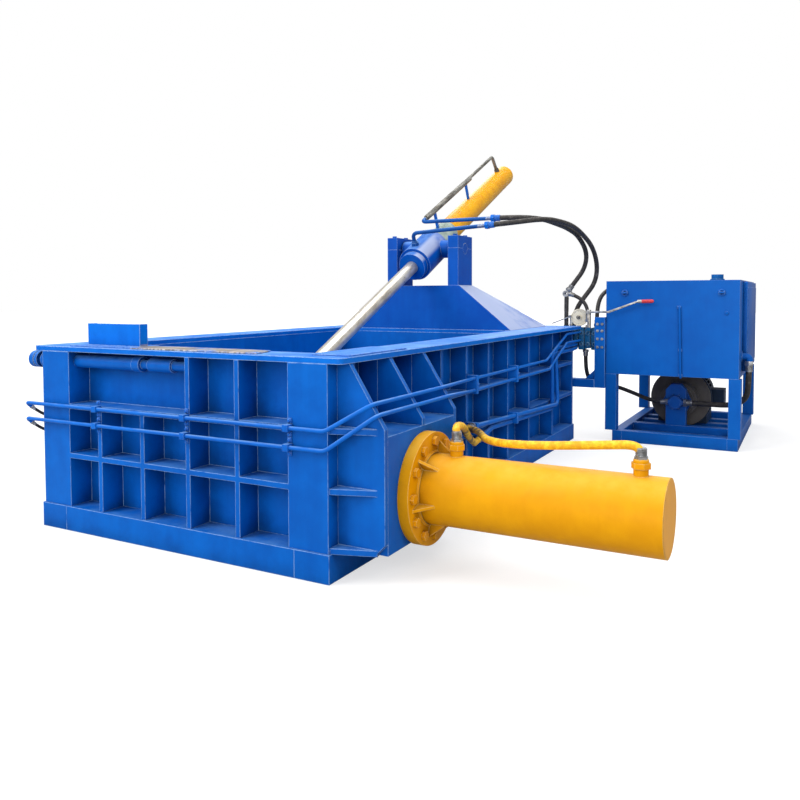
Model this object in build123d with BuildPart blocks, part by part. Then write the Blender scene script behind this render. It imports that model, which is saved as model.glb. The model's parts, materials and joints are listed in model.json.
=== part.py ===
from build123d import *
import os
from math import atan2, cos, hypot, radians, sin, tan

os.makedirs("parts", exist_ok=True)

# A three-ram scrap metal baling press with its pump unit. Millimetres, Z up.
# The origin is on the floor, under the middle of the press box. The front end of the box faces -Y,
# the side ram is on +X, the bale door on -X, and the pump unit stands at the rear right.

# Press box
box_width = 2090
box_length = 4310
base_height = 146
base_proud = 10
rim_underside = 1080
rim_thickness = 30
rim_overhang = 80
front_wall_depth = 250
side_wall_depth = 200
rear_wall_depth = 210
liner_thickness = 25
floor_thickness = 32
plate = 30
front_pocket_depth = 150
side_pocket_depth = 120
lower_rib_height = 455
upper_rib_height = 752
front_rib_pitch = 343
front_rib_last = 821
front_rib_count = 5
left_post_width = 234
side_rib_pitch = 400
side_rib_first = -855
side_rib_count = 4
rear_rib_positions = (845, 1495)
beam_flange = 16
beam_web = 12
cross_beam_width = 200
cross_beam_pitch = 700

# Rams and the bale chamber
bale_size = 450
port_clearance = 5
ram_floor_clearance = 2
side_ram_centre = -1655
side_ram_stroke = 1000
side_pusher_length = 380
main_pusher_front = 295
main_pusher_length = 645
main_ram_stroke = 1720
thrust_wall_front = 995
thrust_wall_thickness = 100
bulkhead_thickness = 50
bulkhead_underside = 640

# Side ram housing
housing_reach = 270
housing_top_reach = 72
housing_shoulder = 767
housing_shelf_height = 715
gusset_pitch = 400
gusset_front = -2055
mount_plate_thickness = 70
tunnel_wall = 35

# Hydraulic cylinders
running_clearance = 0.1
cylinder_bore = 300
cylinder_outer = 366
cylinder_flange = 590
cylinder_flange_thickness = 60
cylinder_cap = 60
cylinder_rod = 180
piston_thickness = 90
piston_spare = 15
flange_bolt_circle = 500
flange_bolt_count = 12
bolt_size = 30
main_bore = 330
main_outer = 402
main_flange = 520
main_bolt_circle = 462
main_rod = 200
rear_hole = 430

# Lid and its cylinder
lid_underside = 632
lid_thickness = 168
lid_skin = 45
lid_side_gap = 8
lid_front_gap = 10
lid_rear_gap = 110
lid_rib_columns = 6
lid_rib_rows = 5
hinge_height = 730
hinge_boss_radius = 90
hinge_pin_radius = 55
hinge_bracket_width = 70
trunnion_y = 1100
trunnion_height = 1831
rod_eye_y = -785
rod_eye_height = 909
eye_pin_radius = 45
eye_radius = 85
eye_width = 120
eye_gap = 2
cheek_thickness = 40
lid_rod_radius = 55
lid_bore_radius = 90
lid_barrel_radius = 109.5
lid_cap_thickness = 60
lid_piston_thickness = 100
gland_reach = 393
head_radius = 150
head_front = -330
head_back = 82
lid_barrel_end = 2131
lid_piston_front = 420
trunnion_radius = 50
shoulder_radius = 80
shoulder_half = 245

# Tower
tower_foot_half = 845
tower_depth = 1000
tower_top_half = 365
tower_top_depth = 310
tower_top = 1500
tower_skin = 20
ear_inner = 255
ear_thickness = 100
ear_top = 1940
ear_sunk = 24

# Bale door and its clamp
outlet_height = 470
outlet_clearance = 10
door_thickness = 40
door_gap = 5
door_front = -2068
door_length = 700
door_bottom = 165
door_height = 535
door_stroke = 660
door_arm_width = 110
rail_length = 1380
rail_thickness = 45
rail_gap = 3
door_cylinder_height = 800
door_cylinder_radius = 28
door_bore_radius = 20
door_rod_radius = 12
door_saddle = 3
door_piston_length = 30
door_cap = 30
clamp_y = -2080
clamp_height = 1020
clamp_barrel_radius = 39
clamp_bore_radius = 28
clamp_rod_radius = 22
clamp_head_radius = 52
clamp_head_length = 90
clamp_stroke = 50

# Pump unit
tank_left = 1355
tank_right = 2535
tank_front = 2195
tank_depth = 1750
tank_bottom = 652
tank_top = 1543
tank_wall = 8
skid_height = 109
motor_rail_height = 80
leg_width = 105
leg_left = 1352
leg_right = 2555
skid_beam = 90
skid_left = 1421
tray_height = 30
tray_sheet = 6
pump_x = 1920
pump_height = 345
bracket_y = 2745
bracket_thickness = 90
bracket_width = 190
bell_length = 230
motor_y = 3100
motor_radius = 250
motor_flange_radius = 300
motor_length = 700
shaft_radius = 30

# Derived places
half_width = box_width / 2
half_length = box_length / 2
inner_half = half_width - side_wall_depth
wall_inner = inner_half + liner_thickness
front_inner = -half_length + front_wall_depth
front_wall_inner = front_inner - liner_thickness
rear_inner = half_length - rear_wall_depth
floor_top = base_height + floor_thickness
rim_top = rim_underside + rim_thickness
thrust_wall_rear = thrust_wall_front + thrust_wall_thickness
bulkhead_front = thrust_wall_front - bulkhead_thickness
ram_centre_height = floor_top + bale_size / 2
port_low = floor_top
port_high = floor_top + bale_size + port_clearance
port_half = bale_size / 2 + port_clearance
housing_face = half_width + housing_reach
housing_rear = gusset_front + 2 * gusset_pitch
hinge_y = (
    trunnion_y**2
    - rod_eye_y**2
    + (trunnion_height - hinge_height) ** 2
    - (rod_eye_height - hinge_height) ** 2
) / (2 * (trunnion_y - rod_eye_y))
lid_slope = atan2(trunnion_height - rod_eye_height, trunnion_y - rod_eye_y)
eye_to_trunnion = hypot(trunnion_height - rod_eye_height, trunnion_y - rod_eye_y)
lid_top = lid_underside + lid_thickness
rib_rows = (
    (base_height, lower_rib_height - plate / 2),
    (lower_rib_height + plate / 2, upper_rib_height - plate / 2),
    (upper_rib_height + plate / 2, rim_underside),
)


def middle(span):
    return (span[0] + span[1]) / 2


def block(x, y, z, mode=Mode.ADD):
    """A plate or bar between its two faces along each axis."""
    with Locations((middle(x), middle(y), middle(z))):
        Box(x[1] - x[0], y[1] - y[0], z[1] - z[0], mode=mode)


def opening(across, up):
    """A rectangle of a sketch between its two edges each way."""
    with Locations((middle(across), middle(up))):
        Rectangle(across[1] - across[0], up[1] - up[0])


def clear_spans(centres, first, last):
    """The spaces left between ribs, from one edge of a wall to the other."""
    starts = [first] + [c + plate / 2 for c in centres]
    ends = [c - plate / 2 for c in centres] + [last]
    return list(zip(starts, ends))


def turned(axis, steps, bores=()):
    """A turned piece along an axis: (from, to, radius) for each step and each bore."""
    with BuildPart() as piece:
        for start, end, radius in steps:
            with BuildSketch(axis.offset(start)):
                Circle(radius)
            extrude(amount=end - start)
        for start, end, radius in bores:
            with BuildSketch(axis.offset(start)):
                Circle(radius)
            extrude(amount=end - start, mode=Mode.SUBTRACT)
    return piece


def hex_bolts(axis, circle, count, size, head, first_angle=0):
    """A ring of hexagon bolt heads standing on a face."""
    with BuildPart() as ring:
        with BuildSketch(axis):
            with PolarLocations(circle / 2, count, start_angle=first_angle):
                RegularPolygon(size * 0.85, 6)
        extrude(amount=head)
    return ring


def together(label, *pieces):
    """Welded or repeated pieces kept as separate solids under one name."""
    return Compound(label=label, children=[piece.part for piece in pieces])


# Base frame: two long channels with I-section cross-beams between them
base_end = half_length + base_proud
base_side_width = half_width + base_proud - inner_half
with BuildPart() as base_side_beams:
    for side in (-1, 1):
        with BuildSketch(Plane.XZ.offset(base_end)):
            with Locations((side * (inner_half + base_side_width / 2), base_height / 2)):
                Rectangle(base_side_width, base_height)
            with Locations((side * (inner_half + (base_side_width - beam_web) / 2), base_height / 2)):
                Rectangle(base_side_width - beam_web, base_height - 2 * beam_flange, mode=Mode.SUBTRACT)
        extrude(amount=-2 * base_end)
        for end in (-1, 1):
            block(
                sorted((side * inner_half, side * (half_width + base_proud))),
                sorted((end * base_end, end * (base_end - beam_web))),
                (beam_flange, base_height - beam_flange),
            )
base_side_beams.part.label = "base_side_beams"
export_step(base_side_beams.part, "parts/base_side_beams.step")

cross_ends = base_end - cross_beam_width / 2
cross_beam_places = [-cross_ends] + [cross_beam_pitch * i for i in range(-2, 3)] + [cross_ends]
with BuildPart() as base_cross_beams:
    for along in cross_beam_places:
        with BuildSketch(Plane.YZ.offset(-inner_half)):
            with Locations((along, base_height / 2)):
                Rectangle(cross_beam_width, base_height)
            for side in (-1, 1):
                with Locations((along + side * (cross_beam_width + beam_web) / 4, base_height / 2)):
                    Rectangle(
                        (cross_beam_width - beam_web) / 2,
                        base_height - 2 * beam_flange,
                        mode=Mode.SUBTRACT,
                    )
        extrude(amount=2 * inner_half)
    for side in (-1, 1):
        block(
            (-inner_half, inner_half),
            sorted((side * base_end, side * (base_end - beam_web))),
            (beam_flange, base_height - beam_flange),
        )
base_cross_beams.part.label = "base_cross_beams"
export_step(base_cross_beams.part, "parts/base_cross_beams.step")

# Chamber floor
with BuildPart() as floor_plate:
    block((-wall_inner, wall_inner), (front_wall_inner, thrust_wall_rear), (base_height, floor_top))
floor_plate.part.label = "floor_plate"
export_step(floor_plate.part, "parts/floor_plate.step")

# Front wall: a thick web with a grid of welded ribs in front of it
front_ribs = [front_rib_last - front_rib_pitch * i for i in range(front_rib_count)][::-1]
post_inner = -half_width + left_post_width
with BuildPart() as front_wall:
    with BuildSketch(Plane.XZ.offset(half_length)):
        opening((-half_width, half_width), (base_height, rim_underside))
    extrude(amount=-(front_wall_depth - liner_thickness))
    columns = clear_spans(front_ribs, post_inner, front_rib_last)[:-1]
    with BuildSketch(Plane.XZ.offset(half_length)):
        for column in columns:
            for row in rib_rows[:2]:
                opening(column, row)
        opening((post_inner, columns[2][1]), rib_rows[2])
        for column in columns[3:]:
            opening(column, rib_rows[2])
    extrude(amount=-front_pocket_depth, mode=Mode.SUBTRACT)
    with BuildSketch(Plane.YZ.offset(-half_width)):
        with Locations((clamp_y, clamp_height)):
            Circle(clamp_rod_radius + running_clearance)
    extrude(amount=left_post_width, mode=Mode.SUBTRACT)
front_wall.part.label = "front_wall"
export_step(front_wall.part, "parts/front_wall.step")


def side_wall(side):
    """A side wall behind the ram port or the outlet, ribbed on its outer face."""
    inward = -side
    ribs = [side_rib_first + side_rib_pitch * i for i in range(side_rib_count)]
    ribs += list(rear_rib_positions)
    with BuildPart() as wall:
        with BuildSketch(Plane.YZ.offset(side * half_width)):
            opening((housing_rear, half_length), (base_height, rim_underside))
        extrude(amount=inward * (half_width - wall_inner))
        with BuildSketch(Plane.YZ.offset(side * half_width)):
            for column in clear_spans(ribs, housing_rear + plate, half_length - plate):
                for row in rib_rows:
                    opening(column, row)
        extrude(amount=inward * side_pocket_depth, mode=Mode.SUBTRACT)
    return wall


right_wall = side_wall(1)
right_wall.part.label = "right_wall"
export_step(right_wall.part, "parts/right_wall.step")

left_wall = side_wall(-1)
left_wall.part.label = "left_wall"
export_step(left_wall.part, "parts/left_wall.step")

# Front parts of the side walls, round the ram port on the right and the bale outlet on the left
port_span = (side_ram_centre - port_half, side_ram_centre + port_half)
with BuildPart() as ram_port_frame:
    with BuildSketch(Plane.YZ.offset(wall_inner)):
        opening((front_wall_inner, housing_rear), (base_height, rim_underside))
    extrude(amount=half_width - wall_inner)
    with BuildSketch(Plane.YZ.offset(wall_inner)):
        with Locations((middle(port_span), (port_low + port_high) / 2)):
            Rectangle(2 * port_half, port_high - port_low)
    extrude(amount=half_width - wall_inner, mode=Mode.SUBTRACT)
    with BuildSketch(Plane.YZ.offset(half_width)):
        for i in range(2):
            start = gusset_front + i * gusset_pitch + plate / 2
            opening((max(start, front_wall_inner + plate), start + gusset_pitch - plate), rib_rows[2])
    extrude(amount=-side_pocket_depth, mode=Mode.SUBTRACT)
ram_port_frame.part.label = "ram_port_frame"
export_step(ram_port_frame.part, "parts/ram_port_frame.step")

outlet_span = (front_inner + outlet_clearance / 2, front_inner + outlet_clearance / 2 + outlet_height)
outlet_top = floor_top + outlet_height
with BuildPart() as outlet_frame:
    with BuildSketch(Plane.YZ.offset(-half_width)):
        opening((front_wall_inner, housing_rear), (base_height, rim_underside))
        opening_centre = (middle(outlet_span), (floor_top + outlet_top) / 2)
        with Locations(opening_centre):
            Rectangle(outlet_height, outlet_height, mode=Mode.SUBTRACT)
    extrude(amount=half_width - wall_inner)
outlet_frame.part.label = "outlet_frame"
export_step(outlet_frame.part, "parts/outlet_frame.step")

# Rear wall, with the hole that the main cylinder passes through
with BuildPart() as rear_wall:
    with BuildSketch(Plane.XZ.offset(-half_length)):
        opening((-wall_inner, wall_inner), (base_height, rim_underside))
        with Locations((0, ram_centre_height)):
            Circle(rear_hole / 2, mode=Mode.SUBTRACT)
    extrude(amount=rear_wall_depth)
    with BuildSketch(Plane.XZ.offset(-half_length)):
        for side in (-1, 1):
            for start in (rear_hole / 2 + 2 * plate, rear_hole / 2 + 3 * plate + (wall_inner - rear_hole / 2) / 2):
                end = start + (wall_inner - rear_hole / 2) / 2 - 2 * plate
                for row in rib_rows:
                    opening(sorted((side * start, side * min(end, wall_inner - plate))), row)
        opening((-rear_hole / 2 - plate, rear_hole / 2 + plate), rib_rows[2])
    extrude(amount=side_pocket_depth, mode=Mode.SUBTRACT)
rear_wall.part.label = "rear_wall"
export_step(rear_wall.part, "parts/rear_wall.step")

# Thrust wall that carries the main cylinder, and the bulkhead in front of it above the pusher
with BuildPart() as thrust_wall:
    with BuildSketch(Plane.XZ.offset(-thrust_wall_front)):
        opening((-wall_inner, wall_inner), (floor_top, rim_underside))
        with Locations((0, ram_centre_height)):
            Circle(main_rod / 2 + 3 * running_clearance, mode=Mode.SUBTRACT)
    extrude(amount=-thrust_wall_thickness)
with BuildPart() as bulkhead:
    block((-inner_half, inner_half), (bulkhead_front, thrust_wall_front), (bulkhead_underside, rim_underside))
export_step(together("thrust_wall", thrust_wall, bulkhead), "parts/thrust_wall.step")

# Rim: a flat plate round the top edge, closed over the rear of the box as a deck
with BuildPart() as rim_flange:
    with BuildSketch(Plane.XY.offset(rim_underside)):
        opening((-half_width - rim_overhang, half_width + rim_overhang), (-half_length, half_length))
        with Locations((0, (front_inner + bulkhead_front) / 2)):
            Rectangle(2 * inner_half, bulkhead_front - front_inner, mode=Mode.SUBTRACT)
    extrude(amount=rim_thickness)
    fillet(rim_flange.edges().filter_by(Axis.Z).group_by(Axis.Y)[0], radius=plate)
rim_flange.part.label = "rim_flange"
export_step(rim_flange.part, "parts/rim_flange.step")

# Wear plates that line the chamber
with BuildPart() as front_liner:
    block((-wall_inner, wall_inner), (front_wall_inner, front_inner), (floor_top, rim_underside))

with BuildPart() as right_liner:
    with BuildSketch(Plane.YZ.offset(inner_half)):
        opening((front_inner, thrust_wall_front), (floor_top, rim_underside))
        with Locations((side_ram_centre, (port_low + port_high) / 2)):
            Rectangle(2 * port_half, port_high - port_low, mode=Mode.SUBTRACT)
    extrude(amount=liner_thickness)

with BuildPart() as left_liner:
    with BuildSketch(Plane.YZ.offset(-wall_inner)):
        opening((front_inner, thrust_wall_front), (floor_top, rim_underside))
        with Locations(opening_centre):
            Rectangle(outlet_height, outlet_height, mode=Mode.SUBTRACT)
    extrude(amount=liner_thickness)
export_step(together("chamber_liners", front_liner, right_liner, left_liner), "parts/chamber_liners.step")

# Fittings on the front rim: a worn bare strip, a pad and an upright channel, and a plate at the corner
guard_left = -755
guard_right = -320
guard_height = 131
guard_sheet = 12
guard_return = 60
pad_thickness = 8
strip_left = guard_right
strip_right = 595
with BuildPart() as front_wear_strip:
    with BuildSketch(Plane.XY.offset(rim_top)):
        with BuildLine():
            Polyline(
                (strip_left, -half_length + 25),
                (strip_right, -half_length + 25),
                (strip_right - 60, -half_length + 215),
                (strip_left, -half_length + 215),
                close=True,
            )
        make_face()
    extrude(amount=pad_thickness)

guard_y = -half_length + 100
with BuildPart() as rim_guard:
    block((guard_left - 90, guard_right), (-half_length + 40, front_inner - 5), (rim_top, rim_top + pad_thickness))
    with BuildSketch(Plane.XY.offset(rim_top + pad_thickness)):
        opening((guard_left, guard_right), (guard_y, guard_y + guard_return))
        opening(
            (guard_left + guard_sheet, guard_right - guard_sheet),
            (guard_y + guard_sheet, guard_y + guard_return + 1),
        )
    extrude(amount=guard_height)
    with BuildSketch(Plane.XY.offset(rim_top + pad_thickness)):
        opening(
            (guard_left + guard_sheet, guard_right - guard_sheet),
            (guard_y + guard_sheet, guard_y + guard_return + 1),
        )
    extrude(amount=guard_height, mode=Mode.SUBTRACT)

with BuildPart() as corner_plate:
    with BuildSketch(Plane.XY.offset(rim_top)):
        with Locations((half_width - 60, -half_length + 420)):
            RectangleRounded(240, 620, 30)
    extrude(amount=pad_thickness)
export_step(together("rim_fittings", front_wear_strip, rim_guard, corner_plate), "parts/rim_fittings.step")

# Side ram housing: tunnel, gusset plates, and the mounting plate with its shelf
mount_inner = housing_face - mount_plate_thickness
with BuildPart() as side_ram_tunnel:
    with BuildSketch(Plane.YZ.offset(half_width)):
        opening(
            (port_span[0] - tunnel_wall, port_span[1] + tunnel_wall),
            (base_height, port_high + tunnel_wall),
        )
        with Locations((side_ram_centre, (port_low + port_high) / 2)):
            Rectangle(2 * port_half, port_high - port_low, mode=Mode.SUBTRACT)
    extrude(amount=mount_inner - half_width)

shelf_top = housing_shelf_height + plate / 2
gusset_corner = 60
with BuildPart() as side_ram_gussets:
    for i in range(3):
        rear_face = gusset_front + i * gusset_pitch + plate / 2
        outer = [
            (half_width, rim_underside),
            (half_width + housing_top_reach, rim_underside),
            (housing_face, housing_shoulder),
        ]
        if i == 1:
            outer += [(housing_face, shelf_top), (half_width, shelf_top)]
        else:
            outer += [
                (housing_face, base_height + gusset_corner),
                (housing_face - gusset_corner, base_height),
                (half_width, base_height),
            ]
        with BuildSketch(Plane.XZ.offset(-rear_face)):
            with BuildLine():
                Polyline(*outer, close=True)
            make_face()
        extrude(amount=plate)

gusset_inner = (gusset_front + plate / 2, housing_rear - plate / 2)
with BuildPart() as side_ram_plate:
    block((mount_inner, housing_face), gusset_inner, (base_height, shelf_top - plate))
    block((half_width, housing_face), gusset_inner, (shelf_top - plate, shelf_top))
    with BuildSketch(Plane.YZ.offset(mount_inner)):
        with Locations((side_ram_centre, ram_centre_height)):
            Circle(cylinder_rod / 2 + 3 * running_clearance)
    extrude(amount=mount_plate_thickness, mode=Mode.SUBTRACT)

with BuildPart() as corner_gussets:
    for level in (base_height + plate / 2, lower_rib_height, upper_rib_height):
        with BuildSketch(Plane.XY.offset(level - plate / 2)):
            with BuildLine():
                Polyline(
                    (half_width, -half_length + 10),
                    (housing_face - 40, gusset_front - plate / 2),
                    (half_width, gusset_front - plate / 2),
                    close=True,
                )
            make_face()
        extrude(amount=plate)
export_step(
    together("side_ram_housing", side_ram_tunnel, side_ram_gussets, side_ram_plate, corner_gussets),
    "parts/side_ram_housing.step",
)

# Side ram: cylinder, rod, piston and pusher block
side_axis = Plane(origin=(housing_face, side_ram_centre, ram_centre_height), x_dir=(0, 1, 0), z_dir=(1, 0, 0))
side_cylinder_length = (
    cylinder_flange_thickness + side_ram_stroke + 2 * piston_spare + piston_thickness + cylinder_cap
)
side_cylinder = turned(
    side_axis,
    [
        (0, cylinder_flange_thickness, cylinder_flange / 2),
        (cylinder_flange_thickness, side_cylinder_length - 2, cylinder_outer / 2),
        (side_cylinder_length - 2, side_cylinder_length, cylinder_outer / 2 - 6),
    ],
    [
        (0, cylinder_flange_thickness, cylinder_rod / 2 + running_clearance),
        (cylinder_flange_thickness, side_cylinder_length - cylinder_cap, cylinder_bore / 2),
    ],
)
weld_collar_length = 45
gusset_leg = 90
port_head = 190
port_boss_radius = 34
with BuildPart() as side_cylinder_barrel:
    add(side_cylinder.part)
    with BuildSketch(side_axis.offset(cylinder_flange_thickness)):
        Circle(cylinder_outer / 2 + 14)
        Circle(cylinder_outer / 2 - 1, mode=Mode.SUBTRACT)
    extrude(amount=14, taper=44)
    for angle in range(15, 360, 60):
        outward = Vector(0, cos(radians(angle)), sin(radians(angle)))
        rib_plane = Plane(
            origin=side_axis.origin + outward * (cylinder_outer / 2 - 2),
            x_dir=(1, 0, 0),
            z_dir=Vector(1, 0, 0).cross(outward),
        )
        with BuildSketch(rib_plane):
            with BuildLine():
                Polyline(
                    (cylinder_flange_thickness - 1, 0),
                    (cylinder_flange_thickness - 1, gusset_leg * 0.8),
                    (cylinder_flange_thickness + gusset_leg, 0),
                    close=True,
                )
            make_face()
        extrude(amount=8, both=True)
    for reach in (port_head, side_cylinder_length - 130):
        port_base = Plane(
            origin=(housing_face + reach, side_ram_centre, ram_centre_height + cylinder_outer / 2 - 8),
            z_dir=(0, 0, 1),
        )
        with BuildSketch(port_base):
            Circle(port_boss_radius)
        extrude(amount=40)
        with BuildSketch(port_base.offset(40)):
            RegularPolygon(port_boss_radius + 10, 6)
        extrude(amount=28)
side_cylinder_barrel.part.label = "side_cylinder_barrel"
export_step(side_cylinder_barrel.part, "parts/side_cylinder_barrel.step")

side_flange_bolts = hex_bolts(
    side_axis.offset(cylinder_flange_thickness), flange_bolt_circle, flange_bolt_count, bolt_size, 20
)

side_pusher_back = inner_half + side_pusher_length
side_piston_back = housing_face + side_cylinder_length - cylinder_cap - piston_spare
side_rod_end = side_piston_back - piston_thickness
with BuildPart() as side_pusher:
    with BuildSketch(Plane.YZ.offset(inner_half)):
        opening(
            (side_ram_centre - bale_size / 2, side_ram_centre + bale_size / 2),
            (floor_top + ram_floor_clearance, floor_top + bale_size),
        )
    extrude(amount=side_pusher_length)
    chamfer(side_pusher.faces().sort_by(Axis.X)[0].edges(), length=6)
    with BuildSketch(Plane.YZ.offset(side_pusher_back)):
        for y in (-1, 1):
            for z in (-1, 1):
                with Locations((side_ram_centre + y * bale_size / 4 + y * 25, ram_centre_height + z * 137)):
                    RectangleRounded(bale_size / 2 - 85, bale_size / 2 - 75, 12)
    extrude(amount=-side_pusher_length + 80, mode=Mode.SUBTRACT)
side_pusher.part.label = "side_pusher"
export_step(side_pusher.part, "parts/side_pusher.step")

side_rod_axis = Plane(
    origin=(side_pusher_back, side_ram_centre, ram_centre_height), x_dir=(0, 1, 0), z_dir=(1, 0, 0)
)
side_rod_length = side_rod_end - side_pusher_back
side_rod = turned(
    side_rod_axis,
    [
        (0, side_rod_length, cylinder_rod / 2),
        (side_rod_length, side_rod_length + piston_thickness, cylinder_bore / 2 - running_clearance),
    ],
)
side_rod.part.label = "side_rod"
export_step(side_rod.part, "parts/side_rod.step")

# Main ram: cylinder on the rear of the thrust wall, rod, piston and the wide pusher
main_axis = Plane(origin=(0, thrust_wall_rear, ram_centre_height), x_dir=(1, 0, 0), z_dir=(0, 1, 0))
main_cylinder_length = (
    cylinder_flange_thickness + main_ram_stroke + 2 * piston_spare + piston_thickness + cylinder_cap
)
main_cylinder_barrel = turned(
    main_axis,
    [
        (0, cylinder_flange_thickness, main_flange / 2),
        (cylinder_flange_thickness, main_cylinder_length, main_outer / 2),
    ],
    [
        (0, cylinder_flange_thickness, main_rod / 2 + running_clearance),
        (cylinder_flange_thickness, main_cylinder_length - cylinder_cap, main_bore / 2),
    ],
)
main_cylinder_barrel.part.label = "main_cylinder_barrel"
export_step(main_cylinder_barrel.part, "parts/main_cylinder_barrel.step")

main_flange_bolts = hex_bolts(
    main_axis.offset(cylinder_flange_thickness), main_bolt_circle, flange_bolt_count, bolt_size, 20
)

main_half = inner_half - port_clearance
main_pusher_back = main_pusher_front + main_pusher_length
main_piston_back = thrust_wall_rear + main_cylinder_length - cylinder_cap - piston_spare
main_rod_end = main_piston_back - piston_thickness
with BuildPart() as main_pusher:
    with BuildSketch(Plane.XZ.offset(-main_pusher_front)):
        opening((-main_half, main_half), (floor_top + ram_floor_clearance, floor_top + bale_size))
    extrude(amount=-main_pusher_length)
    chamfer(main_pusher.faces().sort_by(Axis.Y)[0].edges(), length=6)
    with BuildSketch(Plane.XZ.offset(-main_pusher_back)):
        for side in (-1, 1):
            for i in range(2):
                start = main_rod / 2 + 40 + i * 350
                opening(
                    sorted((side * start, side * (start + 310))),
                    (floor_top + 45, floor_top + bale_size - 45),
                )
    extrude(amount=main_pusher_length - 80, mode=Mode.SUBTRACT)
main_pusher.part.label = "main_pusher"
export_step(main_pusher.part, "parts/main_pusher.step")

main_rod_axis = Plane(
    origin=(0, main_pusher_back, ram_centre_height), x_dir=(1, 0, 0), z_dir=(0, 1, 0)
)
main_rod_length = main_rod_end - main_pusher_back
main_ram_rod = turned(
    main_rod_axis,
    [
        (0, main_rod_length, main_rod / 2),
        (main_rod_length, main_rod_length + piston_thickness, main_bore / 2 - running_clearance),
    ],
)
main_ram_rod.part.label = "main_ram_rod"
export_step(main_ram_rod.part, "parts/main_ram_rod.step")

# Lid: a ribbed plate that hinges on a pin between two brackets inside the side walls
hinge_axis = Plane(origin=(0, hinge_y, hinge_height), x_dir=(0, 1, 0), z_dir=(1, 0, 0))
lid_half = inner_half - lid_side_gap
lid_front = front_inner + lid_front_gap
lid_rear = hinge_y - lid_rear_gap
bracket_inner = inner_half - hinge_bracket_width
tube_half = bracket_inner - port_clearance
arm_pitch = 2 * (tube_half - 100) / 4
with BuildPart() as lid:
    with BuildSketch(Plane.XY.offset(lid_underside)):
        opening((-lid_half, lid_half), (lid_front, lid_rear))
    extrude(amount=lid_thickness)
    bay_width = (2 * lid_half - plate) / lid_rib_columns
    bay_length = (lid_rear - lid_front - plate) / lid_rib_rows
    with BuildSketch(Plane.XY.offset(lid_top)):
        with Locations((0, (lid_front + lid_rear) / 2)):
            with GridLocations(bay_width, bay_length, lid_rib_columns, lid_rib_rows):
                Rectangle(bay_width - plate, bay_length - plate)
    extrude(amount=-(lid_thickness - lid_skin), mode=Mode.SUBTRACT)
    for i in range(-2, 3):
        with BuildSketch(Plane.YZ.offset(i * arm_pitch - plate)):
            with BuildLine():
                Polyline(
                    (lid_rear - 5, lid_underside + 10),
                    (hinge_y, hinge_height - hinge_boss_radius + 5),
                    (hinge_y, hinge_height + hinge_boss_radius - 5),
                    (lid_rear - 5, lid_top),
                    close=True,
                )
            make_face()
        extrude(amount=2 * plate)
    with BuildSketch(hinge_axis.offset(-tube_half)):
        Circle(hinge_boss_radius)
    extrude(amount=2 * tube_half)
    with BuildSketch(hinge_axis.offset(-tube_half)):
        Circle(hinge_pin_radius + running_clearance)
    extrude(amount=2 * tube_half, mode=Mode.SUBTRACT)
    for side in (-1, 1):
        cheek_centre = side * (eye_width / 2 + eye_gap + cheek_thickness / 2)
        with BuildSketch(Plane.YZ.offset(cheek_centre - cheek_thickness / 2)):
            with Locations((rod_eye_y, rod_eye_height)):
                Circle(eye_radius)
            with BuildLine():
                Polyline(
                    (rod_eye_y - 220, lid_top - 40),
                    (rod_eye_y - eye_radius * 0.85, rod_eye_height + eye_radius * 0.5),
                    (rod_eye_y + eye_radius * 0.85, rod_eye_height + eye_radius * 0.5),
                    (rod_eye_y + 220, lid_top - 40),
                    close=True,
                )
            make_face()
            with Locations((rod_eye_y, rod_eye_height)):
                Circle(eye_pin_radius, mode=Mode.SUBTRACT)
        extrude(amount=cheek_thickness)
lid.part.label = "lid"
export_step(lid.part, "parts/lid.step")

with BuildPart() as lid_hinge_brackets:
    for side in (-1, 1):
        with BuildSketch(hinge_axis.offset(bracket_inner if side > 0 else -inner_half)):
            Circle(hinge_boss_radius)
            Circle(hinge_pin_radius, mode=Mode.SUBTRACT)
        extrude(amount=hinge_bracket_width)
lid_hinge_brackets.part.label = "lid_hinge_brackets"
export_step(lid_hinge_brackets.part, "parts/lid_hinge_brackets.step")

lid_hinge_pin = turned(hinge_axis.offset(-inner_half), [(0, 2 * inner_half, hinge_pin_radius)])
lid_hinge_pin.part.label = "lid_hinge_pin"
export_step(lid_hinge_pin.part, "parts/lid_hinge_pin.step")

eye_axis = Plane(origin=(0, rod_eye_y, rod_eye_height), x_dir=(0, 1, 0), z_dir=(1, 0, 0))
eye_pin_half = eye_width / 2 + eye_gap + cheek_thickness
rod_eye_pin = turned(eye_axis.offset(-eye_pin_half), [(0, 2 * eye_pin_half, eye_pin_radius)])
rod_eye_pin.part.label = "rod_eye_pin"
export_step(rod_eye_pin.part, "parts/rod_eye_pin.step")

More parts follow.
